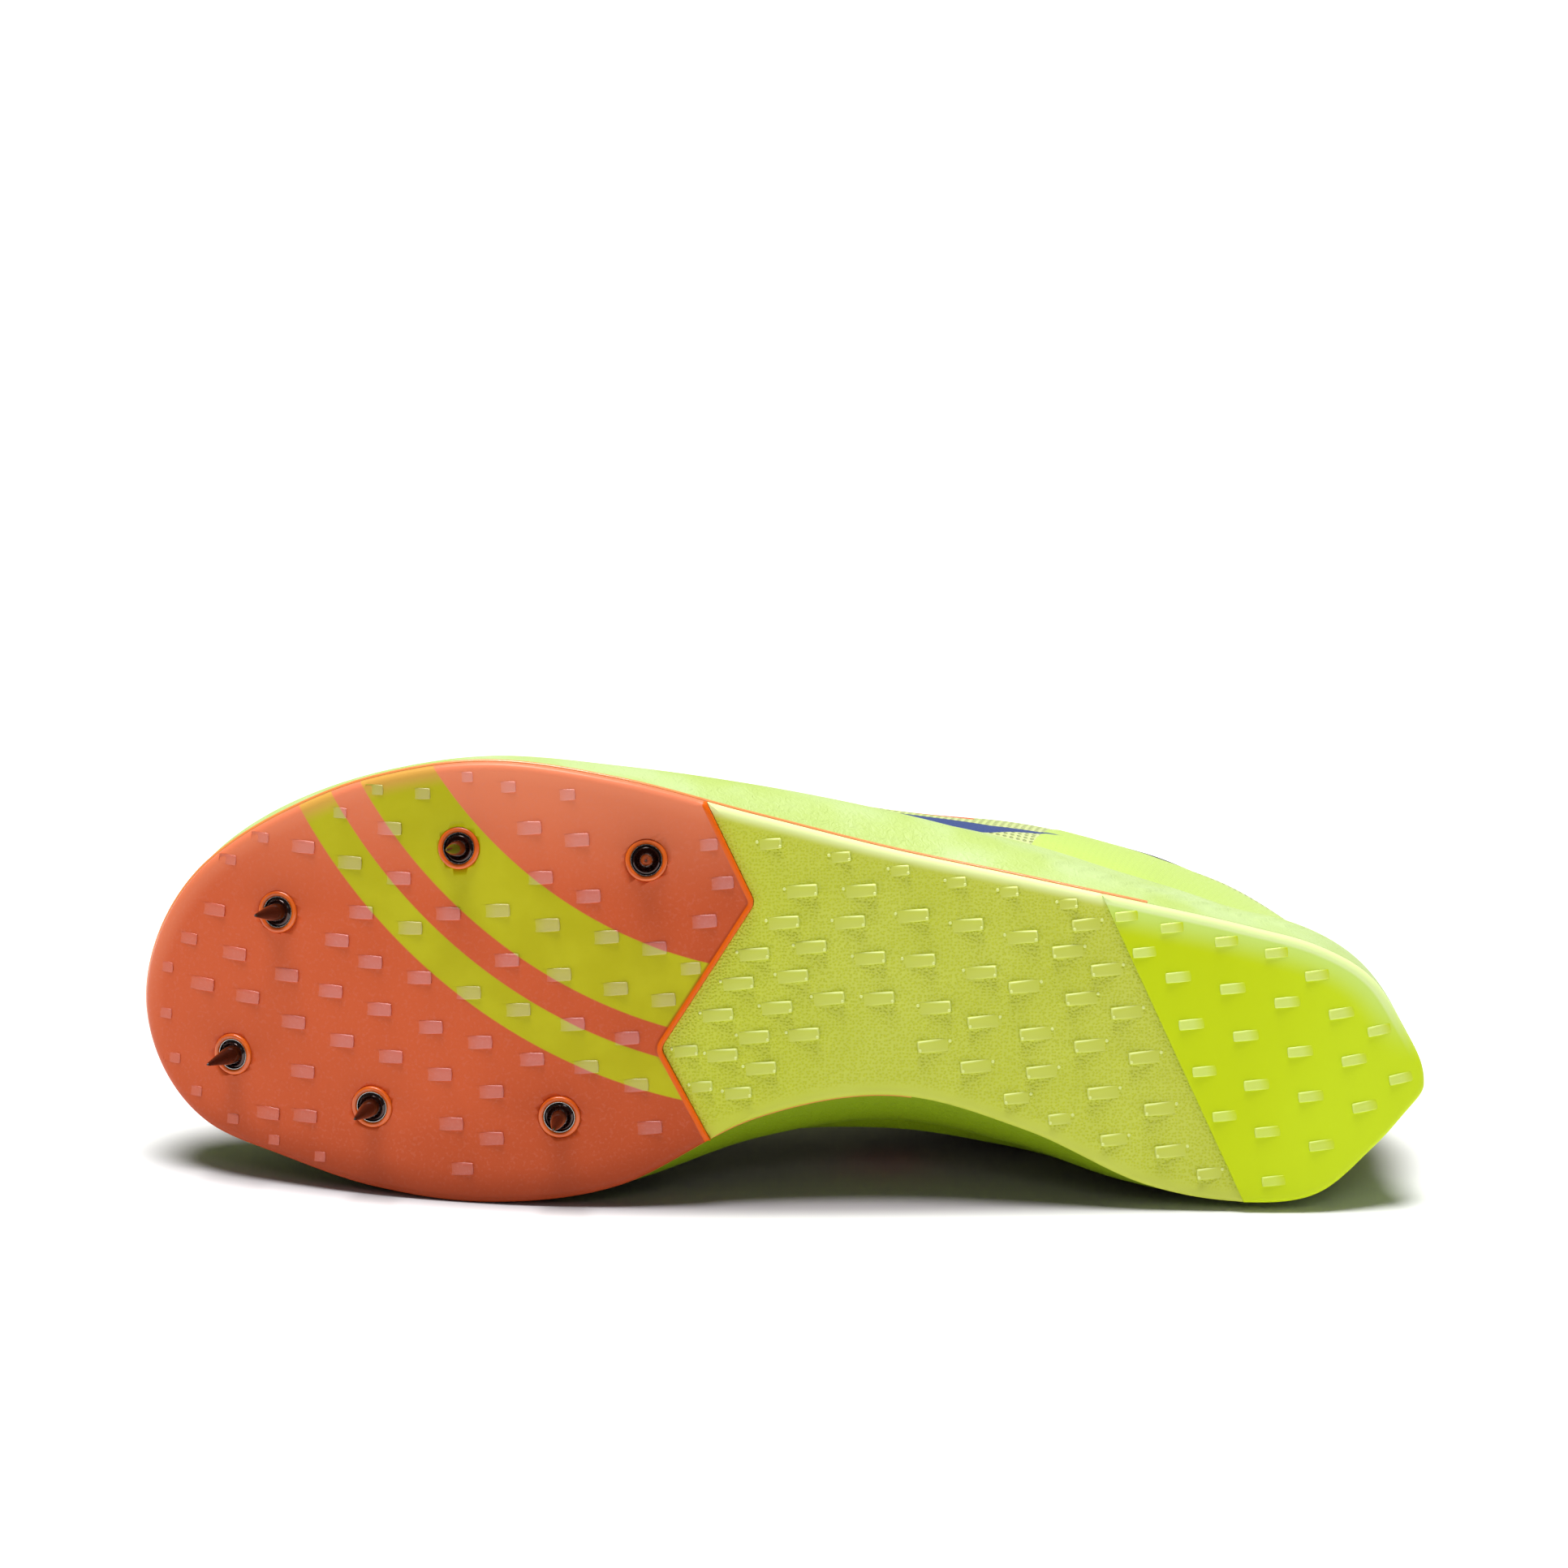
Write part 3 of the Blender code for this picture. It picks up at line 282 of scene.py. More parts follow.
def rib(angle):
    """Four control points of a rib: the foot on the last's plan, a handle that leans out from it, a
    handle that falls from the crown, and the top on the top line."""
    plan = outline(LAST, angle)
    foot = np.concatenate([plan, (bed(plan[..., 0]) + GAP)[..., None]], -1)
    top = np.stack([loop_column(TOPLINE, name, angle) for name in "xyz"], -1)
    out = np.concatenate([outward(LAST, angle), np.zeros(np.shape(angle) + (1,))], -1)
    up = np.array([0.0, 0.0, 1.0])
    lean = np.radians(loop_column(SIDE, "lean", angle))[..., None]
    crown = np.radians(loop_column(SIDE, "crown", angle))[..., None]
    chord = np.linalg.norm(top - foot, axis=-1, keepdims=True)
    inward = unit((top - foot) * np.array([1.0, 1.0, 0.0]) - INWARD_BIAS * out)
    start = up * np.cos(lean) + out * np.sin(lean)
    end = inward * np.cos(crown) + up * np.sin(crown)
    first = foot + start * chord * loop_column(SIDE, "rise", angle)[..., None]
    second = top - end * chord * loop_column(SIDE, "reach", angle)[..., None]
    return foot, first, second, top


def upper_face(angle, share):
    """Point of the wall: the rib's cubic of four points, at a share from the footbed 0 to the top 1."""
    foot, first, second, top = rib(angle)
    t = np.asarray(share)[..., None]
    rest = 1 - t
    return foot * rest ** 3 + 3 * first * rest ** 2 * t + 3 * second * rest * t ** 2 + top * t ** 3


def upper_normal(angle, share, step=0.01):
    """Direction off the wall: the cross product of a small step up the rib and one round the shoe."""
    up_rib = upper_face(angle, share + step) - upper_face(angle, share - step)
    round_shoe = upper_face(angle + step, share) - upper_face(angle - step, share)
    return unit(np.cross(up_rib, round_shoe))


def upper_skin(angle, share, depth):
    """Point a distance outside the wall's face, or inside it where negative."""
    depth = np.broadcast_to(np.asarray(depth, float), np.shape(angle))[..., None]
    return upper_face(angle, share) + depth * upper_normal(angle, share)


print("top edge at the heel, mm:", upper_face(np.array(0.0), np.array(1.0)).round(1))

# %% [markdown]
# ## Laying the shoe down
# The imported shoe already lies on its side, so the standing surfaces need the same turn and shift. The
# six spike tips are known in both frames. Centre both sets of tips, multiply them, and the singular value
# decomposition of the product gives the turn that fits best. Six points fix it better than three would.

# %% Turn and shift from the spike tips
SPIKES = table(
    "x y lean",
    (264.6, 28.6, -3),
    (254.0, 61.5, 4),
    (213.2, 77.7, 6),
    (232.9, 19.0, -4),
    (191.1, 18.3, -4),
    (171.9, 75.7, 8),
)
SPIKE_LENGTH = 11.6


def spike_seats():
    """Origin on the sole face and axis of every spike: square to the sole, leaned to the outer side."""
    x = SPIKES["x"]
    slope = ground(x + 0.5) - ground(x - 0.5)
    square = unit(np.stack([slope, np.zeros_like(x), -np.ones_like(x)], -1))
    turn = np.radians(SPIKES["lean"])[:, None]
    axes = square * np.cos(turn) + np.array([0.0, 1.0, 0.0]) * np.sin(turn)
    return np.stack([x, SPIKES["y"], ground(x)], -1), axes


def mesh_points(data):
    """Vertices of a mesh as an array, in metres."""
    points = np.empty(3 * len(data.vertices))
    data.vertices.foreach_get("co", points)
    return points.reshape(-1, 3)


def packed_tip(number):
    """Tip of a packed spike: its vertex farthest from the mean of all of them."""
    points = mesh_points(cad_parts[f"spike_{number}"].data)
    return points[np.argmax(np.linalg.norm(points - points.mean(0), axis=1))]


SEATS, SPIKE_AXES = spike_seats()
standing_tips = SEATS + SPIKE_LENGTH * SPIKE_AXES
packed_tips = np.array([packed_tip(number) for number in range(1, len(SEATS) + 1)]) / MM
standing_middle = standing_tips.mean(0)
packed_middle = packed_tips.mean(0)
left, _, right = np.linalg.svd((standing_tips - standing_middle).T @ (packed_tips - packed_middle))
keep_hand = np.diag([1.0, 1.0, np.sign(np.linalg.det(left @ right))])
LAID_TURN = (left @ keep_hand @ right).T
LAID_SHIFT = packed_middle - LAID_TURN @ standing_middle


def lay(points):
    """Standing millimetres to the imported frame's metres; nothing goes below the floor."""
    laid = (points @ LAID_TURN.T + LAID_SHIFT) * MM
    laid[..., 2] = np.maximum(laid[..., 2], 0.0)
    return laid


def stand(points):
    """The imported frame's metres back to standing millimetres."""
    return (points / MM - LAID_SHIFT) @ LAID_TURN


misfit = np.linalg.norm(standing_tips @ LAID_TURN.T + LAID_SHIFT - packed_tips, axis=1).max()
print("largest miss of a spike tip, mm:", round(float(misfit), 4))

# %% [markdown]
# ## From arrays to meshes
# A grid of points becomes a mesh by joining neighbours into quads. The faces have to point outward, and
# for a closed surface the sign of its volume tells whether they do: the sum of the small pyramids from
# the origin to each face is negative when the surface is inside out.

# %% Grids and closed ends
def grid_faces(rows, columns, loop_rows=False, loop_columns=True):
    """Quads between neighbours of a rows by columns grid, closed on itself where asked."""
    row, column = np.meshgrid(
        np.arange(rows if loop_rows else rows - 1),
        np.arange(columns if loop_columns else columns - 1),
        indexing="ij",
    )
    next_row = (row + 1) % rows
    next_column = (column + 1) % columns
    corners = [
        row * columns + column,
        row * columns + next_column,
        next_row * columns + next_column,
        next_row * columns + column,
    ]
    return np.stack(corners, -1).reshape(-1, 4)


def fan_faces(centre, first, size):
    """Triangles from a centre point to a ring of points."""
    k = np.arange(size)
    return np.stack([np.full(size, centre), first + (k + 1) % size, first + k], -1)


def rung_faces(first, size):
    """Faces that close a ring by rungs straight across the shoe, with a triangle at either end."""
    half = size // 2
    k = np.arange(1, half - 1)
    rungs = np.stack([k, k + 1, size - k - 1, size - k], -1) + first
    ends = np.array([[0, 1, size - 1], [half - 1, half, half + 1]]) + first
    return rungs, ends


def volume(points, face_sets):
    """Six times the enclosed volume, from the pyramids over each face's fan of triangles."""
    total = 0.0
    for faces in face_sets:
        for k in range(1, faces.shape[1] - 1):
            a, b, c = (points[faces[:, corner]] for corner in (0, k, k + 1))
            total += np.einsum("ij,ij->", a, np.cross(b, c))
    return total


print("quads of a grid with 3 rows of 4 points:", len(grid_faces(3, 4, loop_columns=False)))

# %% [markdown]
# A mesh can be filled face by face, but handing whole arrays to foreach_set takes a fraction of the time.
# A piece then rides on the shoe's body and stands in for the solids that it replaces.

# %% Meshes and pieces
SHARP_ANGLE = math.radians(42)


def add_mesh(name, points, face_sets):
    """Mesh of standing points laid down, faces outward, smooth apart from its sharp edges."""
    if volume(points, face_sets) < 0:
        face_sets = [faces[:, ::-1] for faces in face_sets]
    sizes = np.concatenate([np.full(len(faces), faces.shape[1]) for faces in face_sets])
    corners = np.concatenate([faces.ravel() for faces in face_sets])
    data = bpy.data.meshes.new(name)
    data.vertices.add(len(points))
    data.vertices.foreach_set("co", lay(points).ravel())
    data.loops.add(len(corners))
    data.loops.foreach_set("vertex_index", corners)
    data.polygons.add(len(sizes))
    data.polygons.foreach_set("loop_start", np.cumsum(sizes) - sizes)
    data.update(calc_edges=True)
    data.validate()
    data.shade_smooth()
    data.set_sharp_from_angle(angle=SHARP_ANGLE)
    return data


def mark(data, name, values):
    """Store a number or a vector on every vertex, for a material to read."""
    kind, field = ("FLOAT_VECTOR", "vector") if values.ndim == 2 else ("FLOAT", "value")
    attribute = data.attributes.new(name, kind, "POINT")
    attribute.data.foreach_set(field, values.ravel().astype(np.float32))


def add_piece(name, data, finish, slot, *nodes):
    """Object on the shoe's body that stands for its solids; the mesh also keeps standing places."""
    mark(data, "shoe", stand(mesh_points(data)))
    data.materials.append(finish)
    piece = bpy.data.objects.new(name, data)
    bpy.context.scene.collection.objects.link(piece)
    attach(piece, "root")
    if nodes:
        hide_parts(*nodes)
    print(f"{name}: {len(data.vertices)} points, {len(data.polygons)} faces")
    return piece


print("edges stay sharp where they bend by more than", round(math.degrees(SHARP_ANGLE)), "degrees")

# %% [markdown]
# ## Finishes
# A finish is a Principled shader with a few nodes in front of it. The short helpers below add one node
# each. Patterns read the "shoe" attribute, which holds the standing place in millimetres, so that grain
# and print stay on the shoe however it lies.

# %% Node helpers
def new_finish(name, **sockets):
    """Material with one Principled shader whose plain values are set on its own sockets."""
    finish = bpy.data.materials.new(name)
    finish.use_nodes = True
    shader = finish.node_tree.nodes["Principled BSDF"]
    for key, value in sockets.items():
        shader.inputs[key.replace("_", " ")].default_value = value
    return finish


def wire(finish, kind, inputs, **settings):
    """One node: settings by name, and inputs set to a value or linked from another socket."""
    node = finish.node_tree.nodes.new(kind)
    for key, value in settings.items():
        setattr(node, key, value)
    for key, value in inputs.items():
        if isinstance(value, bpy.types.NodeSocket):
            finish.node_tree.links.new(value, node.inputs[key])
        else:
            node.inputs[key].default_value = value
    return node


def drive(finish, socket, source):
    """Link a node's output into a socket of the shader."""
    shader = finish.node_tree.nodes["Principled BSDF"]
    finish.node_tree.links.new(source, shader.inputs[socket])


def number(finish, name):
    """A number kept on the vertices."""
    return wire(finish, "ShaderNodeAttribute", {}, attribute_name=name).outputs["Fac"]


def place(finish, name="shoe"):
    """A place kept on the vertices, in millimetres."""
    return wire(finish, "ShaderNodeAttribute", {}, attribute_name=name).outputs["Vector"]


def ramp(finish, value, low, high, start=0.0, end=1.0):
    """Smooth step of a value from start at low to end at high."""
    inputs = {"Value": value, "From Min": low, "From Max": high, "To Min": start, "To Max": end}
    return wire(finish, "ShaderNodeMapRange", inputs, interpolation_type="SMOOTHSTEP").outputs["Result"]


def sums(finish, operation, first, second):
    """One step of arithmetic on two values."""
    return wire(finish, "ShaderNodeMath", {0: first, 1: second}, operation=operation).outputs[0]


def blend(finish, share, low, high):
    """Mix of two colours."""
    return wire(finish, "ShaderNodeMix", {0: share, 6: low, 7: high}, data_type="RGBA").outputs[2]


def grain(finish, where, scale, detail=2.0, distortion=0.0):
    """Cloudy noise, with its scale in waves to the millimetre."""
    inputs = {"Vector": where, "Scale": scale, "Detail": detail, "Distortion": distortion}
    return wire(finish, "ShaderNodeTexNoise", inputs).outputs["Fac"]


def relief(finish, height, depth, under=None):
    """Bump of a height from 0 to 1 that stands for a depth in millimetres."""
    inputs = {"Height": height, "Strength": 1.0, "Distance": depth * MM}
    if under is not None:
        inputs["Normal"] = under
    return wire(finish, "ShaderNodeBump", inputs).outputs["Normal"]


print("node helpers ready")

# %% [markdown]
# ## Foam midsole
# The midsole is one moulded foam body: a thin edge under the foot, a wall that swells out and rises to
# a lip round the upper, and a dish that holds the foot. It is a loft of rings round the shoe. Each ring
# is a function of the loop angle, and a share going up the section picks the ring.

# %% Lip and heel ribs
HIGHEST_BRIM = 0.7
HALVINGS = 24
LIP_THICKNESS = 1.3
LIP_FLUSH = 0.9
FLUSH_REAR = (45.0, 70.0)
FLUSH_FRONT = (102.0, 124.0)
RIB_PITCH = 5.2
RIB_DEPTH = 0.35
RIB_SLANT = 16.0
RIB_FIRST = (30.0, 34.0)
RIB_LAST = (92.0, 96.0)
RIB_LOW = (0.42, 0.47)
RIB_HIGH = (0.80, 0.85)


def share_at(angle, height):
    """Share of the rib at which the upper reaches a height, by halving the interval."""
    low = np.zeros_like(angle)
    high = np.full_like(angle, HIGHEST_BRIM)
    for _ in range(HALVINGS):
        middle = (low + high) / 2
        below = upper_face(angle, middle)[..., 2] < height
        low = np.where(below, middle, low)
        high = np.where(below, high, middle)
    return (low + high) / 2


def lip_thickness(angle):
    """Thickness of the lip: thinner along the outer quarter, where it lies nearly flush with the upper."""
    station = station_of(angle)
    flush = fade(station, *FLUSH_REAR) * (1 - fade(station, *FLUSH_FRONT))
    return LIP_THICKNESS - np.where(np.sin(angle) > 0, LIP_FLUSH * flush, 0.0)


def heel_ribs(angle, share):
    """Low slanted ribs moulded into the outer heel wall: a raised cosine along the slant."""
    station = station_of(angle)
    outer = np.sin(angle) > 0
    along = station + RIB_SLANT * share
    wave = fade(np.cos(TURN * along / RIB_PITCH), 0.1, 0.7)
    window = fade(along, *RIB_FIRST) * (1 - fade(along, *RIB_LAST)) * fade(share, *RIB_LOW)
    return np.where(outer, RIB_DEPTH * wave * window * (1 - fade(share, *RIB_HIGH)), 0.0)


print("lip of the foam, mm thick:", round(LIP_THICKNESS - LIP_FLUSH, 1), "to", LIP_THICKNESS)

# %% [markdown]
# The rings go up the wall, over its shoulder and the round lip, and down into the dish. There are many
# columns, because a fine rib needs several points across it.

# %% Rings of the midsole
OUTSOLE_TOP = 2.6
PLATE_LOW = OUTSOLE_TOP + GAP
WALL_WIDEST = 0.78
DISH_GAP = 0.4
FOAM_COLUMNS = 960
FOAM_ROWS = 22


def foam_rings():
    """Rings of the midsole: the wall swells out as the sine of the share up it, the lip is a half
    round between its two sides, and the dish follows the upper down to the footbed."""
    angle = TURN * np.arange(FOAM_COLUMNS) / FOAM_COLUMNS
    low = raised(outline(SOLE, angle), PLATE_LOW)
    out = outward(LAST, angle)
    wide_plan = outline(LAST, angle) + loop_column(SIDE, "bulge", angle)[:, None] * out
    lip = loop_column(SIDE, "lip", angle)
    wide = raised(wide_plan, WALL_WIDEST * lip)
    share = np.linspace(0, 1, FOAM_ROWS)[:, None, None]
    swell = np.concatenate([np.sin(share * np.pi / 2)] * 2 + [share], -1)
    wall = low + (wide - low) * swell
    wall[..., :2] += heel_ribs(angle[None], share[..., 0])[..., None] * out
    brim = share_at(angle, ground(outline(LAST, angle)[:, 0]) + lip)
    thickness = lip_thickness(angle)
    crest_out = upper_skin(angle, brim, DISH_GAP + thickness)
    t = np.linspace(0, 1, 6)[1:, None, None]
    shoulder = wide + (crest_out - wide) * t
    turn = np.linspace(0, np.pi, 6)[1:, None, None]
    crest_in = upper_skin(angle, brim, DISH_GAP)
    middle = (crest_out + crest_in) / 2
    up_rib = unit(upper_face(angle, brim + 0.02) - upper_face(angle, brim))
    crest = middle + (crest_out - middle) * np.cos(turn) + up_rib * np.sin(turn) * thickness[:, None] / 2
    dish = np.stack([upper_skin(angle, brim * s, DISH_GAP) for s in (0.8, 0.6, 0.4, 0.2)])
    floor_plan = outline(LAST, angle) + DISH_GAP * out
    floor = np.concatenate([floor_plan, bed(floor_plan[:, 0])[:, None]], -1)[None]
    return np.concatenate([wall, shoulder, crest, dish, floor])


def closed_loft(rings):
    """Points and faces of a stack of rings, closed by rungs at both ends."""
    count, size = rings.shape[:2]
    ends = [*rung_faces(0, size), *rung_faces((count - 1) * size, size)]
    ends = [ends[0], ends[1], ends[2][:, ::-1], ends[3][:, ::-1]]
    return rings.reshape(-1, 3), [grid_faces(count, size)[:, ::-1], *ends]


foam_mesh = add_mesh("foam_midsole", *closed_loft(foam_rings()))
print("foam midsole:", len(foam_mesh.polygons), "faces")

# %% [markdown]
# The foam is bright yellow-green with a skin like fine leather: broad soft clouds in the colour, and a
# crinkle about a millimetre across that only bump can give at this size. Towards the inner side, which
# faces the floor, painted shade darkens the colour.

# %% Crinkled foam
FOAM_BRIGHT = (0.475, 0.60, 0.25, 1.0)
FOAM_DEEP = (0.42, 0.545, 0.14, 1.0)
FOAM_PAINTED_SHADE = (0.185, 0.28, 0.0, 1.0)


def crinkled_foam():
    """Two bright greens in soft clouds, darkened by painted shade towards the inner side, under a coarse and
    a fine crinkle.
    """
    foam = new_finish("crinkled_foam", Roughness=0.5, Specular_IOR_Level=0.35)
    shoe = place(foam)
    clouds = ramp(foam, grain(foam, shoe, 0.045), 0.35, 0.65)
    colour = blend(foam, clouds, FOAM_DEEP, FOAM_BRIGHT)
    across = wire(foam, "ShaderNodeSeparateXYZ", {"Vector": shoe}).outputs["Y"]
    # painted shade: darker towards the inner side, which faces the floor
    drive(foam, "Base Color", blend(foam, ramp(foam, across, 36.0, 22.0), colour, FOAM_PAINTED_SHADE))
    crinkle = grain(foam, shoe, 0.5, 5.0, 1.6)
    fine = grain(foam, shoe, 2.2, 2.0)
    drive(foam, "Normal", relief(foam, fine, 0.05, relief(foam, crinkle, 0.28)))
    return foam


FOAM = crinkled_foam()
add_piece("foam_midsole", foam_mesh, FOAM, "foam", "midsole")

# %% [markdown]
# ## Three faces of the sole
# Under the foam lie three faces: clear rubber under the forefoot with a notched rear edge, a pebbled foam
# pad under the arch, and clear rubber under the heel. Each is drawn from its rim: rings step in from the
# rim by small distances first, where the edge is rounded, and then shrink to one centre point.

# %% Rims of the three faces
FRONT_LINE = table("x y", (168.0, 107.8), (148.0, 66.0), (168.7, 33.7), (138.4, -23.5))
REAR_LINE = table("x y", (85.3, 97.0), (26.2, -30.0))
LINE_GAP = 0.05
LINE_OVERLAP = 0.3
LINE_ROUND = 1.2
RIM_SPACING = 0.7


def line_x(line, y):
    """Place of a dividing line along the shoe at a place across it, its corners eased by a mean."""
    order = np.argsort(line["y"])
    near = np.asarray(y)[..., None] + np.linspace(-LINE_ROUND, LINE_ROUND, 9)
    return np.interp(near, line["y"][order], line["x"][order]).mean(-1)


def crossing(line, side):
    """Loop angle at which a dividing line meets the sole's outline on one side, by linear search."""
    angle = loop_angle(side, np.linspace(2.0, LENGTH - 2.0, 6000))
    rim = outline(SOLE, angle)
    ahead = rim[:, 0] > line_x(line, rim[:, 1])
    k = np.argmax(ahead)
    return float(angle[k])


def rim_part(start, end):
    """Part of the sole's outline from one loop angle to another, at an even spacing."""
    dense = np.linspace(start, end, 4000)
    points = outline(SOLE, dense)
    run = np.concatenate([[0], np.cumsum(np.linalg.norm(np.diff(points, axis=0), axis=1))])
    even = np.interp(np.arange(0, run[-1], RIM_SPACING), run, dense)
    return outline(SOLE, even)


def line_part(line, start, end, shift):
    """Part of a dividing line between two points of the outline, moved along the shoe by a shift."""
    y = np.linspace(start[1], end[1], int(abs(end[1] - start[1]) / (RIM_SPACING * 0.7)))[:-1]
    return np.stack([line_x(line, y) + shift, y], -1)


front_outer, front_inner = crossing(FRONT_LINE, OUTER), crossing(FRONT_LINE, INNER)
rear_outer, rear_inner = crossing(REAR_LINE, OUTER), crossing(REAR_LINE, INNER)


def rim_of(parts):
    """A closed rim with a number at each point: 1 on a dividing line, 0 on the sole's outline."""
    points = np.concatenate([part for part, _ in parts])
    on_line = np.concatenate([np.full(len(part), share) for part, share in parts])
    return points, np.mean([np.roll(on_line, k) for k in range(-2, 3)], axis=0)


fore_edge = rim_part(front_outer, front_inner)
fore_rim = rim_of([
    (fore_edge, 0.0),
    (line_part(FRONT_LINE, fore_edge[-1], fore_edge[0], LINE_GAP), 1.0),
])
pad_outer = rim_part(rear_outer, front_outer)
pad_inner = rim_part(front_inner, rear_inner)
pad_rim = rim_of([
    (pad_outer, 0.0),
    (line_part(FRONT_LINE, pad_outer[-1], pad_inner[0], -LINE_GAP), 1.0),
    (pad_inner, 0.0),
    (line_part(REAR_LINE, pad_inner[-1], pad_outer[0], -LINE_OVERLAP), 1.0),
])
heel_edge = rim_part(rear_inner, rear_outer + TURN)
heel_rim = rim_of([
    (heel_edge, 0.0),
    (line_part(REAR_LINE, heel_edge[-1], heel_edge[0], 0.0), 1.0),
])
print("points on the rims:", len(fore_rim[0]), len(pad_rim[0]), len(heel_rim[0]))

# %% [markdown]
# A face could be filled with one large polygon, but then its edge could not be rounded. Rings that follow
# the rim keep the points dense where the edge turns over, and sparse in the flat middle.

# %% Faces from their rims
OUTSOLE_EDGE = 1.1
OUTSOLE_INSET = 1.6
PAD_RECESS = 1.0
HEEL_RECESS = 0.3
INSETS = np.array([0.0, 0.08, 0.2, 0.4, 0.65, 0.95, 1.3, 1.7, 2.2, 2.8, 3.6])
SHRINKS = 1 - np.linspace(1, 0.03, 26)[1:]
WELL_INSIDE = 99.0
BORDER_WIDTH = 1.25
BORDER_RISE = 0.3
FORE_LINE_EDGE = 0.45
PAD_LINE_EDGE = 0.06
HEEL_LINE_EDGE = 0.2


def quarter_round(distance, reach, drop):
    """Drop of a rounded edge: a quarter ellipse from the full drop at the rim to none at its reach."""
    return drop * (1 - np.sqrt(1 - np.clip(1 - distance / reach, 0, 1) ** 2))


def sole_face(rim, centre, recess, border, rounding):
    """Rings of one face of the sole. Distance in from the rim is the inset times the cosine between
    the way to the centre and the way square to the rim; it sets the rounded edge and the border."""
    points, on_line = rim
    way = unit(centre - points)
    along = unit(np.roll(points, -1, axis=0) - np.roll(points, 1, axis=0))
    square = np.abs(way[:, 0] * along[:, 1] - way[:, 1] * along[:, 0])
    near = points + way * INSETS[:, None, None]
    inside = near[-1] + (centre - near[-1]) * SHRINKS[:, None, None]
    plan = np.concatenate([near, inside])
    distance = np.concatenate([INSETS, np.full(len(SHRINKS), WELL_INSIDE)])[:, None] * square
    outer_edge = quarter_round(distance, OUTSOLE_INSET, OUTSOLE_EDGE)
    line_edge = quarter_round(distance, rounding, rounding)
    line_edge -= border * BORDER_RISE * (1 - fade(distance, BORDER_WIDTH - 0.4, BORDER_WIDTH))
    low = raised(plan, recess + outer_edge * (1 - on_line) + line_edge * on_line)
    high = raised(plan[[0, len(INSETS) - 1, -1]], OUTSOLE_TOP)
    rings = np.concatenate([high[::-1], low])
    poles = raised(np.array([centre, centre], float), np.array([OUTSOLE_TOP, recess]))
    count, size = rings.shape[:2]
    stack = np.concatenate([rings.reshape(-1, 3), poles])
    last = (count - 1) * size
    fans = np.concatenate([
        fan_faces(count * size, 0, size)[:, ::-1],
        fan_faces(count * size + 1, last, size),
    ])
    return stack, [grid_faces(count, size), fans]


FORE_CENTRE = np.array([215.0, 47.0])
PAD_CENTRE = np.array([105.0, 48.0])
HEEL_CENTRE = np.array([28.0, 30.0])
fore_mesh = add_mesh("clear_forefoot", *sole_face(fore_rim, FORE_CENTRE, 0.0, 1.0, FORE_LINE_EDGE))
pad_mesh = add_mesh("pebbled_pad", *sole_face(pad_rim, PAD_CENTRE, PAD_RECESS, 0.0, PAD_LINE_EDGE))
heel_mesh = add_mesh("clear_heel", *sole_face(heel_rim, HEEL_CENTRE, HEEL_RECESS, 0.0, HEEL_LINE_EDGE))
print("faces of the sole:", [len(data.polygons) for data in (fore_mesh, pad_mesh, heel_mesh)])

# %% [markdown]
# The forefoot rubber is open round each spike. A hole through a ready surface is what a Boolean is for:
# six round pins are taken out of it, and the pins are deleted again. Afterwards the distances to the
# outline and to the dividing line are measured for every point, because the colours follow them.

# %% Spike holes and distances
HOLE_RADIUS = 4.7
HOLE_SIDES = 48
PIN_REACH = 7.0


def seat_frame(seat):
    """Two directions square to a spike's axis, and the axis, as rows."""
    axis = SPIKE_AXES[seat]
    side = unit(np.cross(axis, [1.0, 0.0, 0.0]))
    return np.stack([side, np.cross(axis, side), axis])


def turned(profile, seat, sides):
    """Surface of revolution at a spike: (radius, height) rows swept round its axis, poles closed."""
    profile = np.asarray(profile, float)
    turn = TURN * np.arange(sides) / sides
    ring = np.stack([np.cos(turn), np.sin(turn), np.zeros(sides)], -1)
    rings = profile[1:-1, None, :1] * ring + profile[1:-1, None, 1:] * np.array([0.0, 0.0, 1.0])
    poles = profile[[0, -1], 1:] * np.array([0.0, 0.0, 1.0])
    points = np.concatenate([rings.reshape(-1, 3), poles]) @ seat_frame(seat) + SEATS[seat]
    count = len(rings)
    last = (count - 1) * sides
    fans = np.concatenate([
        fan_faces(count * sides, 0, sides),
        fan_faces(count * sides + 1, last, sides)[:, ::-1],
    ])
    return points, [grid_faces(count, sides), fans]


def joined(parts):
    """Several surfaces in one list of points and face sets."""
    points = np.concatenate([part_points for part_points, _ in parts])
    starts = np.cumsum([0] + [len(part_points) for part_points, _ in parts[:-1]])
    sets = [faces + start for (_, face_sets), start in zip(parts, starts) for faces in face_sets]
    return points, sets


def cut(data, cutter_data):
    """Mesh of the difference of two closed meshes, with both helper objects deleted again."""
    body = bpy.data.objects.new("cut_body", data)
    cutter = bpy.data.objects.new("cut_pins", cutter_data)
    for helper in (body, cutter):
        bpy.context.scene.collection.objects.link(helper)
    change = body.modifiers.new("holes", "BOOLEAN")
    change.object = cutter
    change.solver = "EXACT"
    result = bpy.data.meshes.new_from_object(body.evaluated_get(bpy.context.evaluated_depsgraph_get()))
    for helper in (body, cutter):
        bpy.data.objects.remove(helper)
    return result


hole_profile = [(0, -PIN_REACH), (HOLE_RADIUS, -PIN_REACH), (HOLE_RADIUS, PIN_REACH), (0, PIN_REACH)]
hole_pins = joined([turned(hole_profile, seat, HOLE_SIDES) for seat in range(len(SEATS))])
fore_mesh = cut(fore_mesh, add_mesh("spike_holes", *hole_pins))


def nearest(points, rim):
    """Distance of plan points from the nearest of many rim points, a few thousand at a time."""
    blocks = np.array_split(points, max(1, len(points) // 2000))
    return np.concatenate([
        np.sqrt(((block[:, None] - rim[None]) ** 2).sum(-1).min(1)) for block in blocks
    ])


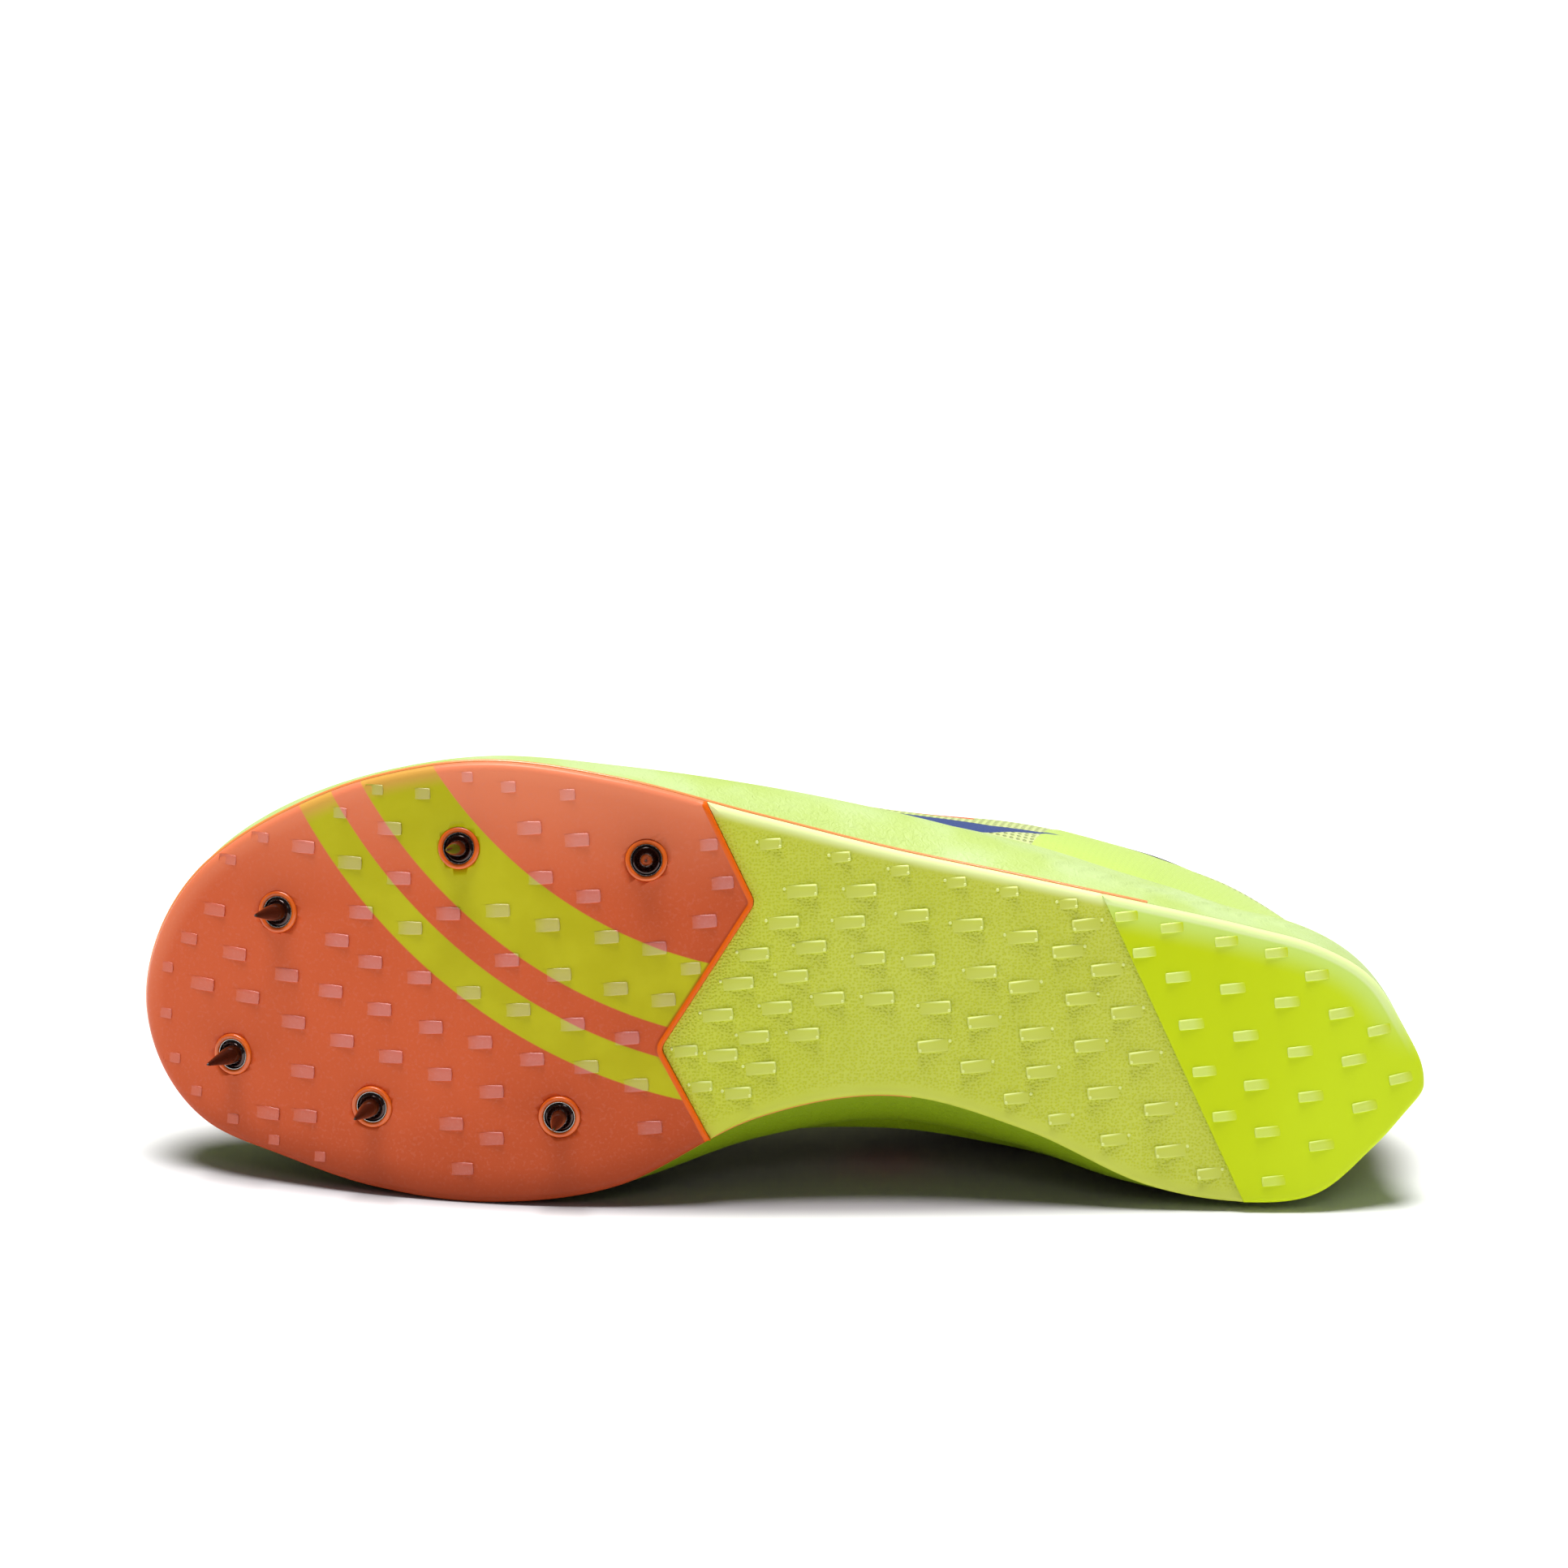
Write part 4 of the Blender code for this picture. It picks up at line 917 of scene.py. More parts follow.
def mark_distances(data, rim):
    """Keep on each point its distance to the sole's outline and to the dividing lines."""
    plan = stand(mesh_points(data))[:, :2]
    points, on_line = rim
    mark(data, "edge", nearest(plan, points[on_line < 0.5]))
    mark(data, "line", nearest(plan, points[on_line >= 0.5]))


for data, rim in ((fore_mesh, fore_rim), (pad_mesh, pad_rim), (heel_mesh, heel_rim)):
    mark_distances(data, rim)
print("forefoot with its holes:", len(fore_mesh.polygons), "faces")

# %% [markdown]
# ## Clear rubber over a print
# Frosted clear rubber shows the printed plate through it, a little milky. Real transparency would be slow
# and grainy at this thinness, so the colour is built up as it is seen: coral, a print of two unequal running
# lanes in yellow, painted light that makes the outer side paler, painted shade that makes the coral's inner
# side darker, an orange border along the notched edge, and a soft gloss.

# %% Lane print over coral
CORAL = (0.580, 0.095, 0.026, 1.0)
CORAL_DEEP_AND_SHADE = (0.440, 0.062, 0.012, 1.0)
CORAL_PAINTED_LIGHT = (0.80, 0.24, 0.120, 1.0)
CORAL_DUST = (0.62, 0.20, 0.14, 1.0)
LANE = (0.43, 0.40, 0.0, 1.0)
LANE_PALE = (0.475, 0.45, 0.004, 1.0)
LANES = ((100.0, 116.0), (123.0, 131.0))
LANE_CENTRE = (135.0, 150.0, 0.0)
LANE_SOFT = 0.2


def lane_print(rubber, shoe):
    """1 on a lane and 0 between: bands of distance, in plan, from one point beside the shoe."""
    flat = wire(rubber, "ShaderNodeVectorMath", {0: shoe, 1: (1.0, 1.0, 0.0)}, operation="MULTIPLY")
    away = wire(rubber, "ShaderNodeVectorMath", {0: flat.outputs[0], 1: LANE_CENTRE}, operation="DISTANCE")
    distance = away.outputs["Value"]
    total = None
    for low, high in LANES:
        inner = ramp(rubber, distance, low - LANE_SOFT, low + LANE_SOFT)
        outer = ramp(rubber, distance, high - LANE_SOFT, high + LANE_SOFT, 1.0, 0.0)
        band = sums(rubber, "MULTIPLY", inner, outer)
        total = band if total is None else sums(rubber, "ADD", total, band)
    return total


def coral_colour(rubber, shoe):
    """Coral in soft clouds with painted light to the outer side and painted shade to the inner, paler to the
    toe, lanes over it.
    """
    apart = wire(rubber, "ShaderNodeSeparateXYZ", {"Vector": shoe})
    clouds = sums(rubber, "MULTIPLY", sums(rubber, "SUBTRACT", grain(rubber, shoe, 0.03, 3.0), 0.5), 1.1)
    # painted light and shade: the tone rises from the inner side, in shade, to the outer side, in the light
    toward_outer = sums(rubber, "ADD", ramp(rubber, apart.outputs["Y"], -5.0, 45.0, 0.25, 0.8), clouds)
    toward_toe = ramp(rubber, apart.outputs["X"], 165.0, 225.0, -0.3, 0.2)
    tone = sums(rubber, "ADD", toward_outer, toward_toe)
    coral = blend(rubber, ramp(rubber, tone, 0.0, 1.0), CORAL_DEEP_AND_SHADE, CORAL)
    # painted light: a pale band along the upper, outer part
    coral = blend(rubber, ramp(rubber, apart.outputs["Y"], 62.0, 100.0, 0.0, 0.75), coral, CORAL_PAINTED_LIGHT)
    dust = ramp(rubber, grain(rubber, shoe, 1.3, 2.0), 0.5, 0.75, 0.0, 0.16)
    coral = blend(rubber, dust, coral, CORAL_DUST)
    lane = blend(rubber, ramp(rubber, grain(rubber, shoe, 0.07, 4.0), 0.4, 0.7), LANE, LANE_PALE)
    return blend(rubber, lane_print(rubber, shoe), coral, lane)


print("lanes of the print:", len(LANES))

# %% [markdown]
# The distances kept on the points tint the edges of a clear piece: painted light along the outer rim, which
# faces the overhead light, and on the coral also painted shade along the inner rim and beside the border.

# %% Clear rubbers
CORAL_PAINTED_SHADE = (0.300, 0.036, 0.004, 1.0)
ORANGE = (0.72, 0.112, 0.002, 1.0)
LIME = (0.515, 0.625, 0.0, 1.0)
LIME_PALE = (0.55, 0.69, 0.008, 1.0)
LIME_PAINTED_LIGHT = (0.58, 0.78, 0.20, 1.0)
HEEL_RIM_PAINTED_LIGHT = (0.74, 0.85, 0.42, 1.0)


def frost(rubber, shoe, depth):
    """Very fine bump of a frosted mould."""
    return relief(rubber, grain(rubber, shoe, 1.6, 3.0), depth)


def clear_coral():
    """Coral and lanes bordered on the notched line; painted light on the outer rim, painted shade on the
    inner one.
    """
    rubber = new_finish(
        "clear_coral", Roughness=0.34, Specular_IOR_Level=0.16, Coat_Weight=0.03, Coat_Roughness=0.25)
    shoe = place(rubber)
    colour = coral_colour(rubber, shoe)
    edge = number(rubber, "edge")
    across = wire(rubber, "ShaderNodeSeparateXYZ", {"Vector": shoe}).outputs["Y"]
    # painted light: paler along the outer rim, which faces the overhead light
    pale = sums(rubber, "MULTIPLY", ramp(rubber, across, 20.0, 60.0), ramp(rubber, edge, 0.5, 5.0, 0.5, 0.0))
    colour = blend(rubber, pale, colour, CORAL_PAINTED_LIGHT)
    # painted shade: darker along the inner rim, which lies in shade
    dark = sums(rubber, "MULTIPLY", ramp(rubber, across, 22.0, 4.0), ramp(rubber, edge, 0.5, 9.0, 0.75, 0.0))
    colour = blend(rubber, dark, colour, CORAL_PAINTED_SHADE)
    line = number(rubber, "line")
    # painted shade of a groove beside the border, on the middle diagonal of the notch
    slanted = sums(rubber, "MULTIPLY", ramp(rubber, across, 28.0, 36.0), ramp(rubber, across, 72.0, 64.0))
    groove = sums(rubber, "MULTIPLY", slanted, ramp(rubber, line, BORDER_WIDTH, BORDER_WIDTH + 0.7, 0.7, 0.0))
    colour = blend(rubber, groove, colour, CORAL_PAINTED_SHADE)
    border = ramp(rubber, line, BORDER_WIDTH - 0.2, BORDER_WIDTH + 0.1, 1.0, 0.0)
    drive(rubber, "Base Color", blend(rubber, border, colour, ORANGE))
    drive(rubber, "Normal", frost(rubber, shoe, 0.03))
    return rubber


def clear_lime():
    """Lime that pales to the heel tip, with painted light along the outer side: a soft pale band and a crisp
    rim.
    """
    rubber = new_finish(
        "clear_lime", Roughness=0.3, Specular_IOR_Level=0.12, Coat_Weight=0.03, Coat_Roughness=0.25)
    shoe = place(rubber)
    apart = wire(rubber, "ShaderNodeSeparateXYZ", {"Vector": shoe})
    clouds = sums(rubber, "MULTIPLY", grain(rubber, shoe, 0.04, 3.0), 0.6)
    back = sums(rubber, "ADD", ramp(rubber, apart.outputs["X"], 55.0, 5.0), clouds)
    colour = blend(rubber, ramp(rubber, back, 0.25, 1.3), LIME, LIME_PALE)
    # painted light: a soft pale band and a crisp pale rim along the outer side, which faces the overhead
    # light
    outer_side = ramp(rubber, apart.outputs["Y"], 30.0, 48.0)
    soft = sums(rubber, "MULTIPLY", outer_side, ramp(rubber, number(rubber, "edge"), 1.0, 8.0, 0.8, 0.0))
    colour = blend(rubber, soft, colour, LIME_PAINTED_LIGHT)
    crisp = sums(rubber, "MULTIPLY", outer_side, ramp(rubber, number(rubber, "edge"), 1.5, 2.2, 0.7, 0.0))
    drive(rubber, "Base Color", blend(rubber, crisp, colour, HEEL_RIM_PAINTED_LIGHT))
    drive(rubber, "Normal", frost(rubber, shoe, 0.03))
    return rubber


CLEAR_CORAL = clear_coral()
CLEAR_LIME = clear_lime()
add_piece("clear_forefoot", fore_mesh, CLEAR_CORAL, "forefoot", "forefoot_outsole")
add_piece("clear_heel", heel_mesh, CLEAR_LIME, "heel", "heel_outsole")

# %% [markdown]
# The pad between them is soft foam with a pebbled skin, smoother along its rounded edge, and paler along
# its outer edge by painted light. The pits between the pebbles are the middles of flat cells round
# scattered points: in plan, a slice through solid cells would leave bald patches.

# %% Pebbled pad
PAD_COLOUR = (0.53, 0.58, 0.07, 1.0)
PAD_DEEP = (0.50, 0.55, 0.055, 1.0)
PAD_FRONT = (0.53, 0.575, 0.03, 1.0)
PAD_PIT = (0.455, 0.50, 0.0, 1.0)
PAD_PAINTED_LIGHT = (0.78, 0.86, 0.40, 1.0)


def pebbled_foam():
    """Clouded yellow with a pit in the middle of every cell, a smooth edge, and painted light on the outer
    side.
    """
    foam = new_finish("pebbled_foam", Roughness=0.5, Specular_IOR_Level=0.35)
    shoe = place(foam)
    clouds = ramp(foam, grain(foam, shoe, 0.05, 3.0), 0.3, 0.7)
    colour = blend(foam, clouds, PAD_DEEP, PAD_COLOUR)
    apart = wire(foam, "ShaderNodeSeparateXYZ", {"Vector": shoe})
    colour = blend(foam, ramp(foam, apart.outputs["X"], 120.0, 160.0, 0.0, 0.6), colour, PAD_FRONT)
    edge = number(foam, "edge")
    outer_side = ramp(foam, apart.outputs["Y"], 45.0, 58.0)
    scatter = {"Vector": shoe, "Scale": 1.35, "Randomness": 0.75}
    cells = wire(foam, "ShaderNodeTexVoronoi", scatter, voronoi_dimensions="2D")
    pits = ramp(foam, cells.outputs["Distance"], 0.1, 0.5, 1.0, 0.0)
    inside = ramp(foam, edge, 1.8, 4.0, 0.0, 1.0)
    pits = sums(foam, "MULTIPLY", pits, inside)
    colour = blend(foam, sums(foam, "MULTIPLY", pits, 0.75), colour, PAD_PIT)
    # painted light: a pale band along the outer edge, where the overhead light falls on the rounding
    rim = sums(foam, "MULTIPLY", outer_side, ramp(foam, edge, 0.8, 3.0, 0.9, 0.0))
    drive(foam, "Base Color", blend(foam, rim, colour, PAD_PAINTED_LIGHT))
    drive(foam, "Normal", relief(foam, sums(foam, "SUBTRACT", 1.0, pits), 0.09))
    return foam


PEBBLED = pebbled_foam()
add_piece("pebbled_pad", pad_mesh, PEBBLED, "pad", "midfoot_pad")

# %% [markdown]
# ## Wedge lugs
# Slanted rows of small wedges give grip. Their rows bend with the shoe, so no single lattice fits: the
# places are measured, and everything else follows a rule. A wedge is smaller near a rim, it turns a
# little with its place along the shoe, and it stands proud at one end and fades into the sole at the other.

# %% Places of the lugs
FOREFOOT_LUGS = (
    (212, 93.5), (203, 91.5), (190, 90), (159, 79), (232, 90), (222, 89.5), (198.5, 82.5), (188, 80),
    (156, 70.5), (240.5, 84.5), (229.5, 81.5), (196, 71.5), (185.5, 67.5), (160, 62), (258, 78), (249, 76.5),
    (238.5, 73.5), (227.5, 70.5), (205.5, 64), (194.5, 61), (181.5, 58.5), (171, 56), (163, 51.5),
    (265.5, 72.5), (236, 62.5), (225, 59.5), (216.5, 63), (203.5, 53), (192, 50), (179.5, 47), (169, 44.5),
    (241.5, 56), (234, 51.5), (223, 48.5), (212, 45.5), (201, 42), (189, 39), (177, 36), (269.5, 61),
    (265, 51.5), (253, 47.5), (243, 44.5), (232, 41), (220.5, 37.5), (209.5, 34.5), (198, 31), (186, 29.5),
    (175, 25.5), (280.5, 47), (275.5, 54), (272.5, 44), (262, 42), (229.5, 30.5), (218.5, 27), (207, 23.5),
    (172, 16), (251.5, 37), (240.5, 33.5), (281, 36.5), (279, 26.5), (249.5, 26), (216, 16), (207, 13),
    (274, 19.5), (265.5, 14), (257.5, 16), (256, 10), (249, 16), (245.5, 7), (213.5, 6),
)
PAD_LUGS = (
    (145, 79), (129.5, 76), (116.5, 73), (104, 70.5), (92.5, 68.5), (79.5, 66), (75, 61.5), (138, 68.5),
    (125, 68.5), (113.5, 63), (101.5, 61), (89.5, 58.5), (79, 55.5), (70.5, 51.5), (142, 61.5),
    (127.5, 61.5), (112, 53), (98.5, 50.5), (88.5, 47.5), (76, 45), (66, 42), (148.5, 54.5), (136, 56),
    (123, 53.5), (108.5, 42.5), (97.5, 39.5), (86, 37), (74, 34.5), (62, 32), (152, 48), (140, 49.5),
    (132, 44.5), (121, 44.5), (108.5, 34), (99, 29.5), (84.5, 28.5), (71, 24), (58.5, 20.5), (156.5, 41),
    (148.5, 36), (143.5, 42.5), (137.5, 36.5), (90, 22.5), (80.5, 18), (68.5, 13.5), (56, 11), (47.5, 6),
    (163.5, 33), (155.5, 32), (147, 29), (160, 25), (152, 23.5),
)
HEEL_LUGS = (
    (66.5, 63.5), (56.5, 61), (44.5, 58), (33.5, 55.5), (24.5, 50.5), (62.5, 55.5), (55, 50), (43, 47.5),
    (31, 44.5), (19, 42), (10.5, 38), (52, 39.5), (40, 37), (28, 33.5), (16, 31.5), (5.5, 27), (49, 29),
    (37.5, 26), (25.5, 23.5), (13.5, 21), (44.5, 19), (35, 15.5), (23, 12.5), (33.5, 4.5),
)
LUG_TURNS = table("x degrees", (10, -10), (30, -5), (110, -5.5), (205, -3.5), (265, 4.5))
LUG_LEAST_ROOM = 3.0
LUG_FULL_ROOM = 9.0
LUG_LINE_SHARE = 1.4


def lug_sizes(places, rim, smallest):
    """Share of the full size: a smooth step of the room to the rim, or to a dividing line."""
    points, on_line = rim
    edge = nearest(places, points[on_line < 0.5])
    line = nearest(places, points[on_line >= 0.5])
    room = np.minimum(edge, LUG_LINE_SHARE * line)
    return smallest + (1 - smallest) * fade(room, LUG_LEAST_ROOM, LUG_FULL_ROOM)


print("lugs:", len(FOREFOOT_LUGS), "forefoot,", len(PAD_LUGS), "pad,", len(HEEL_LUGS), "heel")

# %% [markdown]
# All wedges of a face are made at once: one rounded rectangle of points, six levels high, with one more
# axis in the array for the places. Clear wedges are low, foam wedges stand taller.

# %% Wedges of the lugs
LUG_FORMS = {
    "forefoot": {"length": 7.3, "width": 3.0, "height": 0.62, "low": -0.2, "smallest": 0.55},
    "pad": {"length": 7.6, "width": 2.9, "height": 1.05, "low": -0.12, "smallest": 0.6},
    "heel": {"length": 5.7, "width": 2.4, "height": 0.6, "low": 0.05, "smallest": 0.9},
}
LUG_SINK = 0.5
LUG_SPLIT = 148.5
LUG_SPLIT_SLANT = 1.11
LUG_POINTS = 12
LUG_SQUARENESS = 0.22
LUG_LEVELS = table(
    "inset level shine",
    (0, -1, 0), (0, 0, 0), (0.05, 0.5, 0.4), (0.15, 0.78, 1), (0.32, 0.94, 0.7), (0.56, 1, 0),
)


def lug_axes(places, sizes, form):
    """Half length and width of each wedge, the way its proud end faces, and its turn."""
    half = np.stack([form["length"] * sizes, form["width"] * (1 + sizes) / 2], -1) / 2
    ahead = places[:, 0] + LUG_SPLIT_SLANT * places[:, 1] > LUG_SPLIT
    turn = np.radians(np.interp(places[:, 0], LUG_TURNS["x"], LUG_TURNS["degrees"]))
    return half, np.where(ahead, -1.0, 1.0)[:, None, None], turn[:, None, None]


def lug_plan(places, own, turn):
    """Plan of points given along and across their own wedge: turned, then moved to its place."""
    x = places[:, 0, None, None] + own[..., 0] * np.cos(turn) - own[..., 1] * np.sin(turn)
    y = places[:, 1, None, None] + own[..., 0] * np.sin(turn) + own[..., 1] * np.cos(turn)
    return x, y


def ring_stacks(rings):
    """Points and faces of many stacks of rings, each closed at both ends."""
    many, count, around = rings.shape[:3]
    starts = count * around * np.arange(many)[:, None, None]
    sides = (grid_faces(count, around)[None] + starts).reshape(-1, 4)
    caps = np.stack([np.arange(around)[::-1], np.arange(around) + (count - 1) * around])
    caps = (caps[None] + starts).reshape(-1, around)
    return rings.reshape(-1, 3), [sides, caps]


def lug_field(places, sizes, recess, form):
    """All wedges of one face: a rounded rectangle (powers of cosine and sine) at six levels; the
    height runs evenly from the form's low end, which may lie under the face, to the full height.
    Also how steep each point is, and how it shines: most on the rounded edge of the outer side."""
    angle = TURN * np.arange(LUG_POINTS) / LUG_POINTS
    rounded = np.stack([np.cos(angle), np.sin(angle)], -1)
    rounded = np.sign(rounded) * np.abs(rounded) ** LUG_SQUARENESS
    half, facing, turn = lug_axes(places, sizes, form)
    own = rounded * (half[:, None, None] - LUG_LEVELS["inset"][None, :, None, None])
    steep = own[..., 0] / half[:, None, None, 0] * 0.5 * facing + 0.5
    proud = form["low"] + (form["height"] * sizes[:, None, None] - form["low"]) * steep
    level = LUG_LEVELS["level"][None, :, None]
    height = np.where(level < 0, -LUG_SINK, proud * np.maximum(level, 0))
    x, y = lug_plan(places, own, turn)
    shine = LUG_LEVELS["shine"][None, :, None] * (0.55 + 0.45 * own[..., 1] / half[:, None, None, 1])
    return np.stack([x, y, ground(x) + recess - height], -1), steep, shine


def add_lugs(slot, places, rim, recess, finish):
    """One piece with all the wedges of a face, each point marked with its steepness and its shine."""
    form = LUG_FORMS[slot]
    places = np.array(places, float)
    rings, steep, shine = lug_field(places, lug_sizes(places, rim, form["smallest"]), recess, form)
    data = add_mesh(f"{slot}_lugs", *ring_stacks(rings))
    mark(data, "steep", steep.ravel())
    mark(data, "shine", shine.ravel())
    return add_piece(f"{slot}_lugs", data, finish, slot)


print("corners of one wedge:", LUG_POINTS * len(LUG_LEVELS["level"]))

# %% [markdown]
# Air leaves the mould of the pad through fine vents, and each vent leaves a pip: one beside the low end of
# every wedge and one on its proud end. The pips are small domes, stacked like the wedges.

# %% Vent pips
PIP_SPOTS = table("along across lift", (-0.94, 0.55, 0.0), (0.84, -0.5, 0.95))
PIP_LEVELS = table("radius height", (0.38, -0.2), (0.38, 0.04), (0.29, 0.17), (0.13, 0.23))
PIP_POINTS = 8


def add_pips(slot, places, rim, recess, finish):
    """Domes at two spots of each wedge: rings whose radius falls as they rise."""
    form = LUG_FORMS[slot]
    spots = np.tile(np.stack(list(PIP_SPOTS.values()), -1), (len(places), 1))
    places = np.repeat(np.array(places, float), len(PIP_SPOTS["along"]), 0)
    sizes = lug_sizes(places, rim, form["smallest"])
    half, facing, turn = lug_axes(places, sizes, form)
    spot = spots[:, None, None, :2] * half[:, None, None]
    spot = np.stack([spot[..., 0] * facing, spot[..., 1]], -1)
    angle = TURN * np.arange(PIP_POINTS) / PIP_POINTS
    circle = np.stack([np.cos(angle), np.sin(angle)], -1)
    x, y = lug_plan(places, spot + PIP_LEVELS["radius"][None, :, None, None] * circle, turn)
    top = form["low"] + (form["height"] * sizes - form["low"]) * (spots[:, 0] + 1) / 2
    height = (spots[:, 2] * top)[:, None, None] + PIP_LEVELS["height"][None, :, None]
    points, face_sets = ring_stacks(np.stack([x, y, ground(x) + recess - height], -1))
    data = add_mesh(f"{slot}_pips", points, face_sets)
    # the whole pip takes the wedges' painted highlight
    mark(data, "steep", np.ones(len(points)))
    mark(data, "shine", np.ones(len(points)))
    return add_piece(f"{slot}_pips", data, finish, slot)


print("corners of one pip:", PIP_POINTS * len(PIP_LEVELS["radius"]))

# %% [markdown]
# Clear wedges show the colour below them through a thin haze that thickens to the proud end. Wedges of the
# foam pad are a little lighter than the pad. A painted highlight makes their rounded edges paler still.

# %% Finishes of the lugs
CLEAR_HAZE_AND_HIGHLIGHT = (0.53, 0.40, 0.50, 1.0)
LIME_HAZE_AND_HIGHLIGHT = (0.88, 1.0, 0.55, 1.0)
PAD_LIGHT = (0.58, 0.64, 0.10, 1.0)


def lug_finish(name, base, haze, strength, full, edge, shine, **sockets):
    """The colour below the lug under a haze that grows towards its steep end, is weak at the toe and, as
    painted light, grows to the outer side; then a painted highlight in the edge colour on the rounded edges."""
    rubber = new_finish(name, **sockets)
    shoe = place(rubber)
    colour = base(rubber, shoe) if callable(base) else base
    apart = wire(rubber, "ShaderNodeSeparateXYZ", {"Vector": shoe})
    share = ramp(rubber, number(rubber, "steep"), full - 0.6, full, 0.0, strength)
    # painted light: the haze is fainter towards the inner side, which lies in shade
    share = sums(rubber, "MULTIPLY", share, ramp(rubber, apart.outputs["Y"], 5.0, 40.0, 0.5, 1.0))
    share = sums(rubber, "MULTIPLY", share, ramp(rubber, apart.outputs["X"], 235.0, 275.0, 1.0, 0.4))
    colour = blend(rubber, share, colour, haze)
    # painted highlight on the rounded edges, strongest at the proud end
    proud = ramp(rubber, number(rubber, "steep"), 0.1, 0.8, 0.0, shine)
    bright = sums(rubber, "MULTIPLY", number(rubber, "shine"), proud)
    drive(rubber, "Base Color", blend(rubber, bright, colour, edge))
    drive(rubber, "Normal", frost(rubber, shoe, 0.03))
    return rubber


gloss = {"Roughness": 0.24, "Specular_IOR_Level": 0.3, "Coat_Weight": 0.08, "Coat_Roughness": 0.12}
CORAL_LUG = lug_finish("coral_lug", coral_colour, CLEAR_HAZE_AND_HIGHLIGHT, 0.17, 0.65, CLEAR_HAZE_AND_HIGHLIGHT, 0.08, **gloss)
LIME_LUG = lug_finish("lime_lug", LIME, LIME_HAZE_AND_HIGHLIGHT, 0.24, 0.5, LIME_HAZE_AND_HIGHLIGHT, 0.15, **gloss)
PAD_LUG = lug_finish("pad_lug", PAD_DEEP, PAD_LIGHT, 0.25, 0.7, PAD_PAINTED_LIGHT, 0.5, Roughness=0.36)
add_lugs("forefoot", FOREFOOT_LUGS, fore_rim, 0.0, CORAL_LUG)
add_lugs("pad", PAD_LUGS, pad_rim, PAD_RECESS, PAD_LUG)
add_pips("pad", PAD_LUGS, pad_rim, PAD_RECESS, PAD_LUG)
add_lugs("heel", HEEL_LUGS, heel_rim, HEEL_RECESS, LIME_LUG)

# %% [markdown]
# ## Plate edge, collars, cups and spikes
# A thin orange plate shows as a line between sole and foam, and as a raised collar round each spike. The
# line is a flat strip with a round edge, carried along the outline; collars, cups and spikes are turned, so
# a profile swept round an axis is their true shape.

# %% Orange plate
PLATE_TOP = PLATE_LOW + 1.0
PLATE_BEAD = table("out up", (0.05, 0.0), (0.32, 0.2), (0.44, 0.5), (0.36, 0.8), (0.1, 1.0))
PLATE_END = table("x y", (36.0, 88.0), (142.0, -2.0))
PLATE_DEPTH = 4.0
TURNED_SIDES = 48
PLATE_ORANGE = (0.67, 0.115, 0.004, 1.0)
PLATE_DEEP = (0.55, 0.075, 0.002, 1.0)
PLATE_LINE_PAINTED_LIGHT = (0.80, 0.25, 0.06, 1.0)
COLLAR = [
    (0.0, -3.2), (4.66, -3.2), (4.66, 0.12), (4.62, 0.3), (4.5, 0.46), (4.3, 0.57), (4.05, 0.6),
    (3.8, 0.55), (3.62, 0.42), (3.55, 0.2), (3.55, -2.9), (0.0, -2.9),
]


def plate_edge():
    """Strip with a round edge carried round the front of the outline, closed at both ends."""
    start, end = crossing(PLATE_END, OUTER), crossing(PLATE_END, INNER)
    angle = np.linspace(start, end, 700)
    out = outward(SOLE, angle)
    plan = outline(SOLE, angle)
    section = [*zip(PLATE_BEAD["out"], PLATE_LOW + PLATE_BEAD["up"])]
    section += [(-PLATE_DEPTH, PLATE_TOP), (-PLATE_DEPTH, PLATE_LOW)]
    rings = np.stack([raised(plan + offset * out, height) for offset, height in section], 1)
    count, size = len(angle), len(section)
    caps = np.array([np.arange(size), np.arange(size)[::-1] + size * (count - 1)])
    return rings.reshape(-1, 3), [grid_faces(count, size)[:, ::-1], caps]


def same_way(part):
    """A closed part with its faces pointing outward."""
    points, face_sets = part
    return part if volume(points, face_sets) > 0 else (points, [faces[:, ::-1] for faces in face_sets])


def orange_plate():
    """Orange in two depths, with painted light that makes the line between sole and foam paler."""
    plate = new_finish("orange_plate", Roughness=0.32, Specular_IOR_Level=0.5, Coat_Weight=0.2)
    shoe = place(plate)
    clouds = ramp(plate, grain(plate, shoe, 0.2, 3.0), 0.3, 0.7)
    colour = blend(plate, clouds, PLATE_DEEP, PLATE_ORANGE)
    # painted light on the line under the foam's lip, which lies in the foam's shade
    drive(plate, "Base Color", blend(plate, number(plate, "bead"), colour, PLATE_LINE_PAINTED_LIGHT))
    drive(plate, "Normal", frost(plate, shoe, 0.03))
    return plate


plate_parts = [same_way(plate_edge())]
plate_parts += [same_way(turned(COLLAR, seat, TURNED_SIDES)) for seat in range(len(SEATS))]
plate_mesh = add_mesh("orange_plate", *joined(plate_parts))
bead_points = len(plate_parts[0][0])
mark(plate_mesh, "bead", (np.arange(len(plate_mesh.vertices)) < bead_points).astype(float))
add_piece("orange_plate", plate_mesh, orange_plate(), "plate", "plate")

# %% [markdown]
# Each spike is a turned steel cone on a flat base that screws into a steel cup. On the real shoe they
# come from a lathe, and here too: one profile of radius and height for each, swept round the six axes.
# The steel is blackened, so it shows mostly by its highlights, and only the cup's rim is bright.

